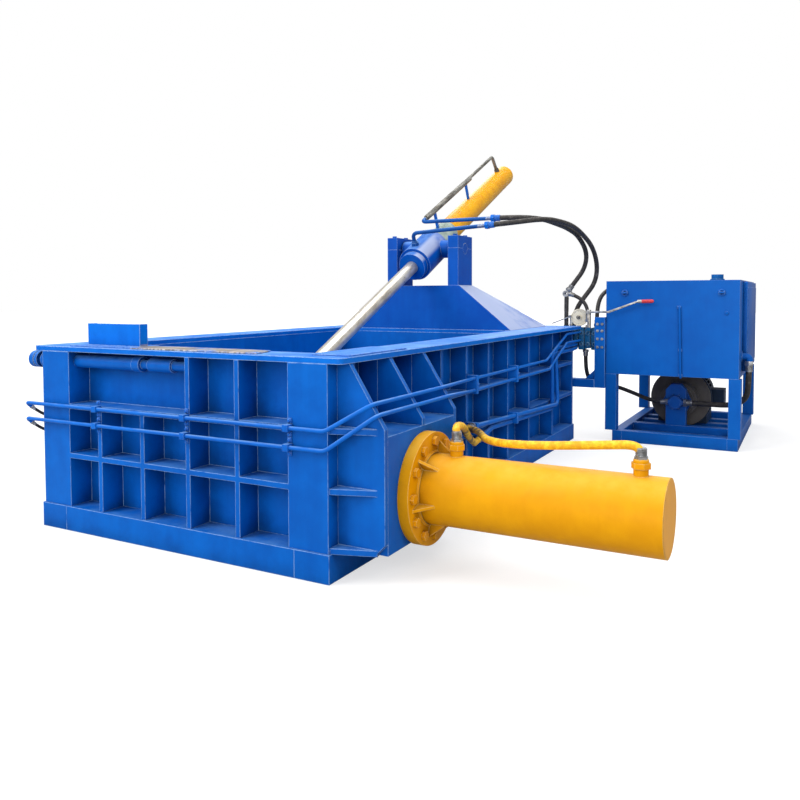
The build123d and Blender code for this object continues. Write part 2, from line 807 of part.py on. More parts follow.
# Lid cylinder: its axis runs from the rod eye on the lid up to the trunnion between the tower's ears
slope = Vector(0, cos(lid_slope), sin(lid_slope))
lid_axis = Plane(origin=(0, trunnion_y, trunnion_height), x_dir=(1, 0, 0), z_dir=slope)
trunnion_axis = Plane(origin=(0, trunnion_y, trunnion_height), x_dir=(0, 1, 0), z_dir=(1, 0, 0))
lid_bore_from = -120
lid_bore_to = lid_barrel_end - lid_cap_thickness
lid_rod_bore = lid_rod_radius + running_clearance
with BuildPart() as lid_cylinder_head:
    with BuildSketch(lid_axis.offset(head_front)):
        Circle(head_radius)
    extrude(amount=head_back - head_front)
    with BuildSketch(trunnion_axis.offset(-shoulder_half)):
        Circle(shoulder_radius)
    extrude(amount=2 * shoulder_half)
    with BuildSketch(trunnion_axis.offset(-ear_inner - ear_thickness)):
        Circle(trunnion_radius)
    extrude(amount=2 * (ear_inner + ear_thickness))
    chamfer(lid_cylinder_head.faces().sort_by(Axis.X)[0].edges(), length=5)
    chamfer(lid_cylinder_head.faces().sort_by(Axis.X)[-1].edges(), length=5)
    with BuildSketch(lid_axis.offset(lid_bore_from)):
        Circle(lid_bore_radius)
    extrude(amount=head_back - lid_bore_from, mode=Mode.SUBTRACT)
    with BuildSketch(lid_axis.offset(head_front)):
        Circle(lid_rod_bore)
    extrude(amount=lid_bore_from - head_front, mode=Mode.SUBTRACT)

lid_gland = turned(
    lid_axis,
    [(-gland_reach, head_front, head_radius * 0.82)],
    [(-gland_reach, head_front, lid_rod_bore)],
)
export_step(together("lid_cylinder_head", lid_cylinder_head, lid_gland), "parts/lid_cylinder_head.step")

lid_barrel = turned(
    lid_axis,
    [(head_back, lid_barrel_end - 10, lid_barrel_radius), (lid_barrel_end - 10, lid_barrel_end, lid_barrel_radius - 8)],
    [(head_back, lid_bore_to, lid_bore_radius)],
)
lid_barrel.part.label = "lid_barrel"
export_step(lid_barrel.part, "parts/lid_barrel.step")

with BuildPart() as lid_rod:
    with BuildSketch(lid_axis.offset(-eye_to_trunnion)):
        Circle(lid_rod_radius)
    extrude(amount=eye_to_trunnion + lid_piston_front + lid_piston_thickness / 2)
    with BuildSketch(eye_axis.offset(-eye_width / 2)):
        Circle(eye_radius)
    extrude(amount=eye_width)
    with BuildSketch(eye_axis.offset(-eye_width / 2)):
        Circle(eye_pin_radius + running_clearance)
    extrude(amount=eye_width, mode=Mode.SUBTRACT)
    with BuildSketch(lid_axis.offset(lid_piston_front)):
        Circle(lid_bore_radius - running_clearance)
    extrude(amount=lid_piston_thickness)
lid_rod.part.label = "lid_rod"
export_step(lid_rod.part, "parts/lid_rod.step")

# Tower: a tapered box on the deck with two ears that hold the trunnion
with BuildPart() as tower:
    foot_middle = bulkhead_front + tower_depth / 2
    top_middle = bulkhead_front + tower_top_depth / 2
    for inset, mode in ((0, Mode.ADD), (tower_skin, Mode.SUBTRACT)):
        with BuildSketch(Plane.XY.offset(rim_top)):
            with Locations((0, foot_middle)):
                Rectangle(2 * (tower_foot_half - inset), tower_depth - 2 * inset)
        with BuildSketch(Plane.XY.offset(tower_top - inset)):
            with Locations((0, top_middle)):
                Rectangle(2 * (tower_top_half - inset), tower_top_depth - 2 * inset)
        loft(mode=mode)

ear_front = bulkhead_front
with BuildPart() as trunnion_ears:
    for side in (-1, 1):
        with BuildSketch(Plane.YZ.offset(ear_inner if side > 0 else -ear_inner - ear_thickness)):
            opening((ear_front, ear_front + tower_top_depth), (tower_top, trunnion_height))
            with Locations((trunnion_y, trunnion_height)):
                Circle(trunnion_radius + running_clearance, mode=Mode.SUBTRACT)
        extrude(amount=ear_thickness)
export_step(together("tower", tower, trunnion_ears), "parts/tower.step")

with BuildPart() as trunnion_caps:
    for side in (-1, 1):
        with BuildSketch(Plane.YZ.offset(ear_inner if side > 0 else -ear_inner - ear_thickness)):
            opening((ear_front, ear_front + tower_top_depth), (trunnion_height, ear_top))
            with Locations((trunnion_y, trunnion_height)):
                Circle(trunnion_radius + running_clearance, mode=Mode.SUBTRACT)
        extrude(amount=ear_thickness)
trunnion_caps.part.label = "trunnion_caps"
export_step(trunnion_caps.part, "parts/trunnion_caps.step")

cap_bolt_reach = 110
with BuildPart() as cap_bolts:
    for side in (-1, 1):
        for along in (-1, 1):
            place = Plane(
                origin=(
                    side * (ear_inner + ear_thickness / 2),
                    ear_front + tower_top_depth / 2 + along * cap_bolt_reach,
                    ear_top,
                ),
                z_dir=(0, 0, 1),
            )
            with BuildSketch(place):
                RegularPolygon(22, 6)
            extrude(amount=16)
export_step(together("bolts", side_flange_bolts, main_flange_bolts, cap_bolts), "parts/bolts.step")

# Bale door: a plate that slides along the left wall, with an arm that the clamp holds
door_inner = -half_width - door_gap
door_outer = door_inner - door_thickness
door_top = door_bottom + door_height
rail_lip = 12
rail_outer = door_outer - 2 - rail_lip
arm_inner = rail_outer - 3
arm_outer = arm_inner - plate
arm_top = clamp_height + 36
arm_low = door_top - 140
rail_lap = 25
door_cylinder_x = -half_width - door_saddle - door_cylinder_radius
with BuildPart() as bale_door:
    block((door_outer, door_inner), (door_front, door_front + door_length), (door_bottom, door_top))
    for level in (door_bottom + 100, door_bottom + 260):
        block(
            (door_outer - 20, door_outer),
            (door_front + 60, door_front + door_length - 60),
            (level - 12, level + 12),
        )
    block((arm_inner, door_outer), (door_front, door_front + door_arm_width), (arm_low, door_top - 40))
    with BuildSketch(Plane.YZ.offset(arm_outer)):
        opening((door_front, door_front + door_arm_width), (arm_low, arm_top))
        with Locations((clamp_y, clamp_height)):
            Circle(clamp_rod_radius + 4, mode=Mode.SUBTRACT)
    extrude(amount=plate)
    block(
        (arm_inner, door_cylinder_x),
        (door_front + 20, door_front + door_arm_width - 20),
        (door_cylinder_height - 40, door_cylinder_height + 40),
    )
bale_door.part.label = "bale_door"
export_step(bale_door.part, "parts/bale_door.step")

rail_front = door_front + 10
rail_rear = rail_front + rail_length
rail_top = door_top + rail_gap + rail_thickness
with BuildPart() as door_rails:
    block((rail_outer, -half_width), (rail_front, rail_rear), (base_height, door_bottom - rail_gap))
    block((rail_outer, rail_outer + rail_lip), (rail_front, rail_rear), (base_height, door_bottom + rail_lap))
    block((rail_outer, -half_width), (rail_front, rail_rear), (door_top + rail_gap, rail_top))
    block((rail_outer, rail_outer + rail_lip), (rail_front, rail_rear), (door_top - rail_lap, rail_top))
door_rails.part.label = "door_rails"
export_step(door_rails.part, "parts/door_rails.step")

# Door cylinder on the left wall: its rod pulls the arm towards the rear
arm_rear = door_front + door_arm_width - 20
door_gland_y = door_front + door_arm_width + door_stroke + 20
door_barrel_length = door_stroke + door_piston_length + 2 * door_cap + 20
door_cylinder_axis = Plane(
    origin=(door_cylinder_x, door_gland_y, door_cylinder_height), x_dir=(1, 0, 0), z_dir=(0, 1, 0)
)
with BuildPart() as door_cylinder:
    with BuildSketch(door_cylinder_axis):
        Circle(door_cylinder_radius)
    extrude(amount=door_barrel_length)
    for along in (60, door_barrel_length - 60):
        block(
            (door_cylinder_x, -half_width),
            (door_gland_y + along - 20, door_gland_y + along + 20),
            (rail_top, door_cylinder_height),
        )
    with BuildSketch(door_cylinder_axis.offset(door_cap)):
        Circle(door_bore_radius)
    extrude(amount=door_barrel_length - 2 * door_cap, mode=Mode.SUBTRACT)
    with BuildSketch(door_cylinder_axis):
        Circle(door_rod_radius + running_clearance)
    extrude(amount=door_cap, mode=Mode.SUBTRACT)
    for along in (door_cap + 12, door_barrel_length - door_cap - 12):
        with BuildSketch(
            Plane(
                origin=(door_cylinder_x, door_gland_y + along, door_cylinder_height + door_bore_radius + 1),
                z_dir=(0, 0, 1),
            )
        ):
            Circle(16)
        extrude(amount=26)
door_cylinder.part.label = "door_cylinder"
export_step(door_cylinder.part, "parts/door_cylinder.step")

door_rod_start = door_front + door_arm_width - 20
door_piston_front = door_gland_y + door_cap + 10
door_rod = turned(
    Plane(origin=(door_cylinder_x, 0, door_cylinder_height), x_dir=(1, 0, 0), z_dir=(0, 1, 0)),
    [
        (door_rod_start, door_piston_front, door_rod_radius),
        (door_piston_front, door_piston_front + door_piston_length, door_bore_radius - running_clearance),
    ],
)
door_rod.part.label = "door_rod"
export_step(door_rod.part, "parts/door_rod.step")

# Clamp cylinder in the top left pocket: its rod passes the corner post and holds the door's arm
clamp_axis = Plane(origin=(0, clamp_y, clamp_height), x_dir=(0, 1, 0), z_dir=(1, 0, 0))
clamp_barrel_end = -322
clamp_collar_end = -265
clamp_sleeve = (-203, -26)
clamp_anchor_end = columns[2][1]
clamp_cylinder = turned(
    clamp_axis,
    [
        (post_inner, clamp_barrel_end, clamp_barrel_radius),
        (clamp_barrel_end, clamp_collar_end, clamp_barrel_radius + 6),
        (clamp_collar_end, clamp_anchor_end, clamp_barrel_radius - 12),
        (clamp_sleeve[0], clamp_sleeve[1], clamp_barrel_radius),
    ],
    [
        (post_inner, post_inner + 25, clamp_rod_radius + running_clearance),
        (post_inner + 25, clamp_barrel_end, clamp_bore_radius),
    ],
)

clamp_collar = turned(
    clamp_axis,
    [(rail_outer + 2, -half_width, clamp_head_radius), (rail_outer + 14, rail_outer + 26, clamp_head_radius - 5)],
    [(rail_outer + 2, -half_width, clamp_rod_radius + running_clearance)],
)
export_step(together("clamp_cylinder", clamp_cylinder, clamp_collar), "parts/clamp_cylinder.step")

head_inner = arm_outer - 1
with BuildPart() as clamp_rod:
    with BuildSketch(clamp_axis.offset(head_inner - clamp_head_length)):
        Circle(clamp_head_radius)
    extrude(amount=clamp_head_length)
    chamfer(clamp_rod.faces().sort_by(Axis.X)[0].edges(), length=18)
    with BuildSketch(clamp_axis.offset(head_inner - clamp_head_length + 55)):
        Circle(clamp_head_radius)
        Circle(clamp_head_radius - 6, mode=Mode.SUBTRACT)
    extrude(amount=10, mode=Mode.SUBTRACT)
    with BuildSketch(clamp_axis.offset(head_inner)):
        Circle(clamp_rod_radius)
    extrude(amount=post_inner + 25 + clamp_stroke + 10 - head_inner)
    with BuildSketch(clamp_axis.offset(post_inner + 25 + clamp_stroke + 10)):
        Circle(clamp_bore_radius - running_clearance)
    extrude(amount=30)
clamp_rod.part.label = "clamp_rod"
export_step(clamp_rod.part, "parts/clamp_rod.step")

# Pump unit: skid, legs, oil tank
tank_rear = tank_front + tank_depth
motor_rear = motor_y + motor_length
skid_inside = (skid_left + skid_beam, tank_right - skid_beam)
motor_rails = (motor_y + 120, motor_rear - 280)
cross_rails = (tank_front, bracket_y, *motor_rails, tank_rear - skid_beam)
with BuildPart() as skid_cross_rails:
    for y in cross_rails:
        rail_height = motor_rail_height if y in motor_rails else skid_height
        block(skid_inside, (y, y + skid_beam), (0, rail_height))
with BuildPart() as skid_long_rails:
    for x in (skid_left, tank_right - skid_beam):
        block((x, x + skid_beam), (tank_front, tank_rear), (0, skid_height))
with BuildPart() as drip_tray:
    for before, after in zip(cross_rails, cross_rails[1:]):
        block(skid_inside, (before + skid_beam, after), (tray_height, tray_height + tray_sheet))
export_step(
    together("pump_skid", skid_cross_rails, skid_long_rails, drip_tray),
    "parts/pump_skid.step",
)

leg_inside = leg_width - 2 * tank_wall
with BuildPart() as tank_legs:
    for x in (leg_left, leg_right - leg_width):
        for y in (tank_front, tank_rear - leg_width):
            with BuildSketch(Plane.XY.offset(skid_height)):
                with Locations((x + leg_width / 2, y + leg_width / 2)):
                    Rectangle(leg_width, leg_width)
                    Rectangle(leg_inside, leg_inside, mode=Mode.SUBTRACT)
            extrude(amount=tank_bottom - skid_height)
tank_legs.part.label = "tank_legs"
export_step(tank_legs.part, "parts/tank_legs.step")

with BuildPart() as oil_tank:
    block((tank_left, tank_right), (tank_front, tank_rear), (tank_bottom, tank_top))
    block(
        (tank_left + tank_wall, tank_right - tank_wall),
        (tank_front + tank_wall, tank_rear - tank_wall),
        (tank_bottom + tank_wall, tank_top - tank_wall),
        mode=Mode.SUBTRACT,
    )
oil_tank.part.label = "oil_tank"
export_step(oil_tank.part, "parts/oil_tank.step")

filler_plane = Plane(origin=(tank_right - 205, tank_front + 150, tank_top), z_dir=(0, 0, 1))
filler_cap = turned(filler_plane, [(0, 12, 62), (12, 53, 52)])
filler_cap.part.label = "filler_cap"
export_step(filler_cap.part, "parts/filler_cap.step")

# Pump set: motor, bell housing and pump on one axis along Y
pump_axis = Plane(origin=(pump_x, 0, pump_height), x_dir=(1, 0, 0), z_dir=(0, 1, 0))
with BuildPart() as motor:
    with BuildSketch(pump_axis.offset(motor_y)):
        Circle(motor_flange_radius)
    extrude(amount=30)
    with BuildSketch(pump_axis.offset(motor_y + 30)):
        Circle(motor_radius - 20)
        with PolarLocations(motor_radius - 16, 40):
            Rectangle(44, 8)
    extrude(amount=motor_length - 190)
    with BuildSketch(pump_axis.offset(motor_rear - 160)):
        Circle(motor_radius)
    extrude(amount=160)
    fillet(motor.faces().sort_by(Axis.Y)[-1].edges(), radius=30)
    for x in (-1, 1):
        block(
            (pump_x + x * 190 - 50, pump_x + x * 190 + 50),
            (motor_y + 90, motor_rear - 190),
            (motor_rail_height, pump_height - motor_radius + 95),
        )
    block(
        (pump_x + motor_radius - 30, pump_x + motor_radius + 150),
        (motor_y + 120, motor_y + 330),
        (pump_height - 60, pump_height + 90),
    )
motor.part.label = "motor"
export_step(motor.part, "parts/motor.step")

bell_front = motor_y - bell_length
bell_housing = turned(
    pump_axis,
    [(bell_front, bell_front + 25, 150), (bell_front + 25, motor_y - 25, 175), (motor_y - 25, motor_y, 290)],
    [(bell_front + 25, motor_y, 130), (bell_front, bell_front + 25, shaft_radius + 5)],
)
bell_housing.part.label = "bell_housing"
export_step(bell_housing.part, "parts/bell_housing.step")

with BuildPart() as pump:
    with BuildSketch(pump_axis.offset(bracket_y - 60)):
        Circle(62)
    extrude(amount=60)
    with BuildSketch(pump_axis.offset(bracket_y + bracket_thickness)):
        RegularPolygon(135, 8)
    extrude(amount=bell_front - bracket_y - bracket_thickness)
    with BuildSketch(Plane.XZ.offset(-bracket_y)):
        with BuildLine():
            Polyline(
                (pump_x - bracket_width / 2, skid_height),
                (pump_x + bracket_width / 2, skid_height),
                (pump_x + bracket_width / 2, pump_height + 120),
                (pump_x + bracket_width / 2 - 50, pump_height + 175),
                (pump_x - bracket_width / 2 + 50, pump_height + 175),
                (pump_x - bracket_width / 2, pump_height + 120),
                close=True,
            )
        make_face()
    extrude(amount=-bracket_thickness)
pump.part.label = "pump"
export_step(pump.part, "parts/pump.step")

# Valve stand: an arm from the rear wall, an upright post and the valve block it carries
post_width = 100
post_right = leg_left
post_left = post_right - post_width
arm_left = 855
arm_depth = 90
arm_low_edge = 513
arm_high_edge = 593
post_top = 1198
post_plate = 12
valve_left = 935
valve_depth = 128
valve_low = 877
valve_high = 1095
post_front = half_length + base_proud
with BuildPart() as valve_arm:
    block((arm_left, post_left), (half_length, post_front + arm_depth), (arm_low_edge, arm_high_edge))
with BuildPart() as valve_post:
    block((post_left, post_right), (post_front, post_front + post_plate), (arm_low_edge, post_top))
    block((post_right - post_plate, post_right), (post_front, post_front + arm_depth), (arm_low_edge, post_top))
export_step(together("valve_stand", valve_arm, valve_post), "parts/valve_stand.step")

with BuildPart() as valve_block:
    block(
        (valve_left, post_right - post_plate),
        (post_front + post_plate, post_front + post_plate + valve_depth),
        (valve_low, valve_high),
    )
valve_block.part.label = "valve_block"
export_step(valve_block.part, "parts/valve_block.step")
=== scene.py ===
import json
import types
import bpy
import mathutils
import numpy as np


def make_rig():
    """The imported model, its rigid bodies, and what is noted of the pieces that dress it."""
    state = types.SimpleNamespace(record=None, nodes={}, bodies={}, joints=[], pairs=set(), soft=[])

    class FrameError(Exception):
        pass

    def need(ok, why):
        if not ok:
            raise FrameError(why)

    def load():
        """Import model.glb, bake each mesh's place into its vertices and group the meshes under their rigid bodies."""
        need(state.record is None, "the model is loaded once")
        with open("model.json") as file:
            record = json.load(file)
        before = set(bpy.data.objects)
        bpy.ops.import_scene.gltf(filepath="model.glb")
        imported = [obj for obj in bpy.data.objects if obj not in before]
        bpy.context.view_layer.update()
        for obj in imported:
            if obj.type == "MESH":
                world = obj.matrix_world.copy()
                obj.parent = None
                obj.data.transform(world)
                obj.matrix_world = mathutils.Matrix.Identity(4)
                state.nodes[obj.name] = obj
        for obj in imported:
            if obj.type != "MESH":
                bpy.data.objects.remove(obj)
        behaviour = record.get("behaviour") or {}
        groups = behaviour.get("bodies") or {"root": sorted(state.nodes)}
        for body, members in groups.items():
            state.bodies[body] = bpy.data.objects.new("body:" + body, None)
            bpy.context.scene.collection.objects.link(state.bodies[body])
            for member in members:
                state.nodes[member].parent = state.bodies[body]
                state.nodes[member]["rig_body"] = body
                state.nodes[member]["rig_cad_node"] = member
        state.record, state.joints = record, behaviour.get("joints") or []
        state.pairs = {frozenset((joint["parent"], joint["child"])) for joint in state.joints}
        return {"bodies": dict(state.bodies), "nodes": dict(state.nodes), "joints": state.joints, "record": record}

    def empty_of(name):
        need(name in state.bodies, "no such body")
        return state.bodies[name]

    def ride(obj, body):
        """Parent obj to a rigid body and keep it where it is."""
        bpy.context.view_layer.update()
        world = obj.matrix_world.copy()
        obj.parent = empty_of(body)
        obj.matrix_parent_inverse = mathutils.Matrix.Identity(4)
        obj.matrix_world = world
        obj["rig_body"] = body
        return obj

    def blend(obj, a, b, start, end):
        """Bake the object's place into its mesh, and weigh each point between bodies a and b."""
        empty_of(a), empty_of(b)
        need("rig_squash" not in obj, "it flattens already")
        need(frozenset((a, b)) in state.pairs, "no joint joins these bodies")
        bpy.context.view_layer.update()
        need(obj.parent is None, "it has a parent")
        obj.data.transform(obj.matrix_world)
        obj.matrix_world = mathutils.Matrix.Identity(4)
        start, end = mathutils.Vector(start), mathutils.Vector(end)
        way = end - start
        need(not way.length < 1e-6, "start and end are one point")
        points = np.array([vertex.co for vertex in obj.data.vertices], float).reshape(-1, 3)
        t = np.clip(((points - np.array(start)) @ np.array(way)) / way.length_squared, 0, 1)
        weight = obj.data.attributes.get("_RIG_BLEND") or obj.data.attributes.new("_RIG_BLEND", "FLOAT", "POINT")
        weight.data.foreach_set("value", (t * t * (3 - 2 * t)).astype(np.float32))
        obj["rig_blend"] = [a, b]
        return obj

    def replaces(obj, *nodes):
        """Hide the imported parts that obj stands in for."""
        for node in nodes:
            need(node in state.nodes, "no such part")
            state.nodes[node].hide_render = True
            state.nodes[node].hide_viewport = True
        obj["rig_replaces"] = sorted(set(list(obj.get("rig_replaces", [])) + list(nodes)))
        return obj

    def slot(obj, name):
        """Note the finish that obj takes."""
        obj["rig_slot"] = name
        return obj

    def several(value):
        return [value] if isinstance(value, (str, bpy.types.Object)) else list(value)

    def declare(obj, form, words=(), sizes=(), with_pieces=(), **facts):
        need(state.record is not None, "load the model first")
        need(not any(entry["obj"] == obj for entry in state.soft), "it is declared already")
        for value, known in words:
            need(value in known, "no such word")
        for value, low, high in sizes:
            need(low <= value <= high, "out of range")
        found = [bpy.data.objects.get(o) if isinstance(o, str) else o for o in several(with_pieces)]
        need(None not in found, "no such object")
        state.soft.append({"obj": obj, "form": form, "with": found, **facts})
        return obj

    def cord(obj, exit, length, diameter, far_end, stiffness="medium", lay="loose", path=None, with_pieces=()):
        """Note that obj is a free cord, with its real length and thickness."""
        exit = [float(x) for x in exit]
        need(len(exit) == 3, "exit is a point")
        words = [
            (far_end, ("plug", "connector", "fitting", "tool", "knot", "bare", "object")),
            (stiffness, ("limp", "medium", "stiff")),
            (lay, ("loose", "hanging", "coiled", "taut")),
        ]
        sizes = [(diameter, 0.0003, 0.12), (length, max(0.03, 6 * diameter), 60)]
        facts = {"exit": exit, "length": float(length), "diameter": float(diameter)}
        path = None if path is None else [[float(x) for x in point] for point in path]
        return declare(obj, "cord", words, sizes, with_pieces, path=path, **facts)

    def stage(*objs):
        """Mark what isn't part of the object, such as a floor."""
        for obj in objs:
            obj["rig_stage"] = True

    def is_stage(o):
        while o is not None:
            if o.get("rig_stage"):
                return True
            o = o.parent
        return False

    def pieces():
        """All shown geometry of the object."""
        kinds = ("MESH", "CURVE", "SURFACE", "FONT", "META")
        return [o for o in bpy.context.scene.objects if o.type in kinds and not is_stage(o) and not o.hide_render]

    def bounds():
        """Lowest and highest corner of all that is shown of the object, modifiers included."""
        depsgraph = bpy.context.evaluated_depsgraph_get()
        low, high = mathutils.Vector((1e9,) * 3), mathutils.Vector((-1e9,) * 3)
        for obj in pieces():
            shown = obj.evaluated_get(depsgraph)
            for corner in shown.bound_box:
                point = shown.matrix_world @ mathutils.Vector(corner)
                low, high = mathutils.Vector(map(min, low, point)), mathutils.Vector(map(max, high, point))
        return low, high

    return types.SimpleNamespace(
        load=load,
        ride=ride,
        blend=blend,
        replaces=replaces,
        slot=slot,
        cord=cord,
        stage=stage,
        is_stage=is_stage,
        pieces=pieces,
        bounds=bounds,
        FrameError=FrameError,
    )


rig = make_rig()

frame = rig.load()
cad_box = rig.bounds()

import json
import math

import bmesh
import bpy
from mathutils import Matrix, Vector

scene = bpy.context.scene
nodes = frame["nodes"]


class Shade:
    """A shader value that takes plain arithmetic."""

    def __init__(self, tree, socket):
        self.tree = tree
        self.socket = socket

    def make(self, kind, settings, sockets, out=0):
        """Adds a node: its settings first, then the values or links of its sockets."""
        node = self.tree.nodes.new(kind)
        for name, value in settings.items():
            setattr(node, name, value)
        for name, value in sockets.items():
            if isinstance(value, Shade):
                self.tree.links.new(value.socket, node.inputs[name])
            else:
                node.inputs[name].default_value = value
        return Shade(self.tree, node.outputs[out])

    def maths(self, operation, *values):
        return self.make("ShaderNodeMath", {"operation": operation}, dict(enumerate(values)))

    def __add__(self, other):
        return self.maths("ADD", self, other)

    def __radd__(self, other):
        return self.maths("ADD", other, self)

    def __sub__(self, other):
        return self.maths("SUBTRACT", self, other)

    def __rsub__(self, other):
        return self.maths("SUBTRACT", other, self)

    def __mul__(self, other):
        return self.maths("MULTIPLY", self, other)

    def __rmul__(self, other):
        return self.maths("MULTIPLY", other, self)


def ramp(value, low, high):
    """0 below low, 1 above high, even between; high may be the lower one."""
    spread = {"interpolation_type": "SMOOTHSTEP"}
    return value.make(
        "ShaderNodeMapRange", spread, {"Value": value, "From Min": low, "From Max": high}
    )


def between(mask, low, high):
    """The colour low where mask is 0 and high where it is 1."""
    return mask.make("ShaderNodeMix", {"data_type": "RGBA"}, {0: mask, 6: low, 7: high}, out=2)


def noise(place, scale, detail=3.0, roughness=0.6, stretch=(1, 1, 1)):
    """Soft random spots, scale to the metre, drawn out along an axis where stretch is below 1."""
    spot = place.make("ShaderNodeMapping", {}, {"Vector": place, "Scale": stretch})
    sockets = {"Vector": spot, "Scale": scale, "Detail": detail, "Roughness": roughness}
    return place.make("ShaderNodeTexNoise", {}, sockets)


def paint_colour(code):
    """A colour written as red, green, blue out of 255, as a shader reads it."""
    parts = [c / 255 for c in code]
    return [c / 12.92 if c <= 0.04045 else ((c + 0.055) / 1.055) ** 2.4 for c in parts] + [1.0]


def start(name):
    """A new finish: its material, and the place on the piece in metres."""
    material = bpy.data.materials.new(name)
    material.use_nodes = True
    tree = material.node_tree
    coordinates = tree.nodes.new("ShaderNodeTexCoord")
    return material, Shade(tree, coordinates.outputs["Object"])


def rounded(place, radius):
    """The normal over edges that are broken by radius, and a mask of those edges."""
    soft = place.make("ShaderNodeBevel", {"samples": 6}, {"Radius": radius})
    flat = place.make("ShaderNodeNewGeometry", {}, {}, out=1)
    same = place.make("ShaderNodeVectorMath", {"operation": "DOT_PRODUCT"}, {0: soft, 1: flat}, out=1)
    return soft, 1 - same


def close(
    material, place, colour, roughness, metallic=0.0, height=None, depth=0.0005, normal=None,
    coat=0.0, shine=0.2,
):
    """Joins a finish's colour, roughness and small relief to the surface shader."""
    shader = place.tree.nodes["Principled BSDF"]
    shader.inputs["Specular IOR Level"].default_value = shine
    entries = {"Base Color": colour, "Roughness": roughness, "Metallic": metallic, "Coat Weight": coat}
    if height is not None:
        sockets = {"Height": height, "Distance": depth, "Strength": 1.0}
        if normal is not None:
            sockets["Normal"] = normal
        normal = place.make("ShaderNodeBump", {}, sockets)
    if normal is not None:
        entries["Normal"] = normal
    for name, value in entries.items():
        if isinstance(value, Shade):
            place.tree.links.new(value.socket, shader.inputs[name])
        else:
            shader.inputs[name].default_value = value
    return material


class Coat:
    """What one finish says of a surface: its colour, roughness, metal and relief."""

    def __init__(self, colour, rough, metal, height):
        self.colour = colour
        self.rough = rough
        self.metal = metal
        self.height = height

    def under(self, mask, over):
        """This coat where mask is 0, and the coat over where it is 1."""
        return Coat(
            between(mask, self.colour, over.colour),
            self.rough + (over.rough - self.rough) * mask,
            self.metal + (over.metal - self.metal) * mask,
            self.height + (over.height - self.height) * mask,
        )


def reach(place, axis):
    """The place along X, Y or Z, axis 0, 1 or 2."""
    return place.make("ShaderNodeSeparateXYZ", {}, {"Vector": place}, out=axis)


def past(place, axis, edge, soft=0.004):
    """1 beyond edge along an axis; a soft below 0 turns it round."""
    return ramp(reach(place, axis), edge - soft, edge + soft)


def within(place, *spans):
    """1 inside a box given as (axis, low, high), 0 outside."""
    mask = 1.0
    for axis, low, high in spans:
        mask = mask * past(place, axis, low) * past(place, axis, high, -0.004)
    return mask


def facing(place, axis):
    """How far the surface faces along an axis, from -1 to 1."""
    normal = Shade(place.tree, place.socket.node.outputs["Normal"])
    return reach(normal, axis)


def crevice(place, distance):
    """1 deep in a corner, 0 on an open face."""
    return 1 - place.make("ShaderNodeAmbientOcclusion", {"samples": 6}, {"Distance": distance}, out=1)


def plain_zinc(name):
    material, place = start(name)
    return finish(material, place, zinc(place), None, 0.0003, 0.5)


def painted(place, face, deep, dusty, dust=0.5, wear=0.6, gloss=0.38, edge=0.007, corner=0.16):
    """Sprayed machine paint: uneven, with runs, painted shade in corners, dust and painted sky sheen on top, edges
    rubbed bright.

    face and deep are the paint where it lies thin and thick; the third colour is what painted sky sheen and dust on
    top, and wear, show.
    """
    patches = noise(place, 1.1, 4.0)
    mottle = noise(place, 9.0, 5.0)
    runs = noise(place, 5.0, 4.0, stretch=(3.2, 3.2, 0.35))
    grain = noise(place, 160.0, 2.0)
    film = patches * 0.5 + mottle * 0.3 + runs * 0.2
    colour = between(ramp(film, 0.36, 0.64) * 0.8, paint_colour(face), paint_colour(deep))
    # Painted shade: corners and recesses darken towards a deep shade of the paint, broken a little by the mottle
    grime_and_corner_shade = ramp(crevice(place, corner) + (mottle - 0.5) * 0.3, 0.22, 0.80)
    colour = between(grime_and_corner_shade * 0.68, colour, paint_colour([c * 0.45 for c in deep]))
    # Dust and painted sky sheen: faces that point up turn in clouds towards the pale third colour
    clouds = ramp(mottle * 0.55 + patches * 0.45, 0.36, 0.64)
    dust_and_sky_sheen = ramp(facing(place, 2), 0.35, 0.95) * clouds * dust
    colour = between(dust_and_sky_sheen, colour, paint_colour(dusty))
    normal, broken = rounded(place, edge)
    scuffs = noise(place, 34.0, 6.0, 0.75, stretch=(1, 1, 0.4))
    rubbed = ramp(broken, 0.010, 0.10) * ramp(scuffs, 0.30, 0.54) * wear
    bright = [c + (255 - c) * 0.45 for c in dusty]
    colour = between(rubbed, colour, paint_colour(bright))
    chips = ramp(noise(place, 58.0, 6.0, 0.8), 0.70, 0.74) * wear
    colour = between(chips * 0.6, colour, paint_colour(dusty))
    rough = gloss + dust_and_sky_sheen * 0.3 + (1 - mottle) * 0.12 + grime_and_corner_shade * 0.2
    return Coat(colour, rough, 0.0, grain * 0.3 + mottle * 0.5 - chips * 0.3), normal


def bare(place, code, rust, amount=0.5, metal=0.7):
    """Bare steel: mill scale, rust blooms and scratches from handling."""
    blooms = noise(place, 5.0, 6.0, 0.7)
    scratches = noise(place, 60.0, 3.0, 0.6, stretch=(1, 0.06, 0.2))
    scale = [c * 0.6 for c in code]
    colour = between(ramp(scratches, 0.40, 0.62), paint_colour(scale), paint_colour(code))
    rusty = ramp(blooms, 0.48, 0.66) * amount
    colour = between(rusty, colour, paint_colour(rust))
    return Coat(colour, 0.36 + rusty * 0.4 + scratches * 0.12, metal * (1 - rusty), scratches)


def zinc(place, code=(178, 180, 182)):
    """Zinc plated steel: spangled grey with a faint yellow pass here and there."""
    spangle = place.make("ShaderNodeTexVoronoi", {}, {"Vector": place, "Scale": 260.0})
    dull = noise(place, 24.0, 5.0)
    shade = [c * 0.7 for c in code]
    colour = between(ramp(dull, 0.35, 0.65), paint_colour(shade), paint_colour(code))
    stain = ramp(noise(place, 15.0, 4.0), 0.60, 0.72)
    colour = between(stain * 0.4, colour, paint_colour((150, 128, 84)))
    return Coat(colour, 0.30 + dull * 0.2, 0.8, spangle * 0.5)


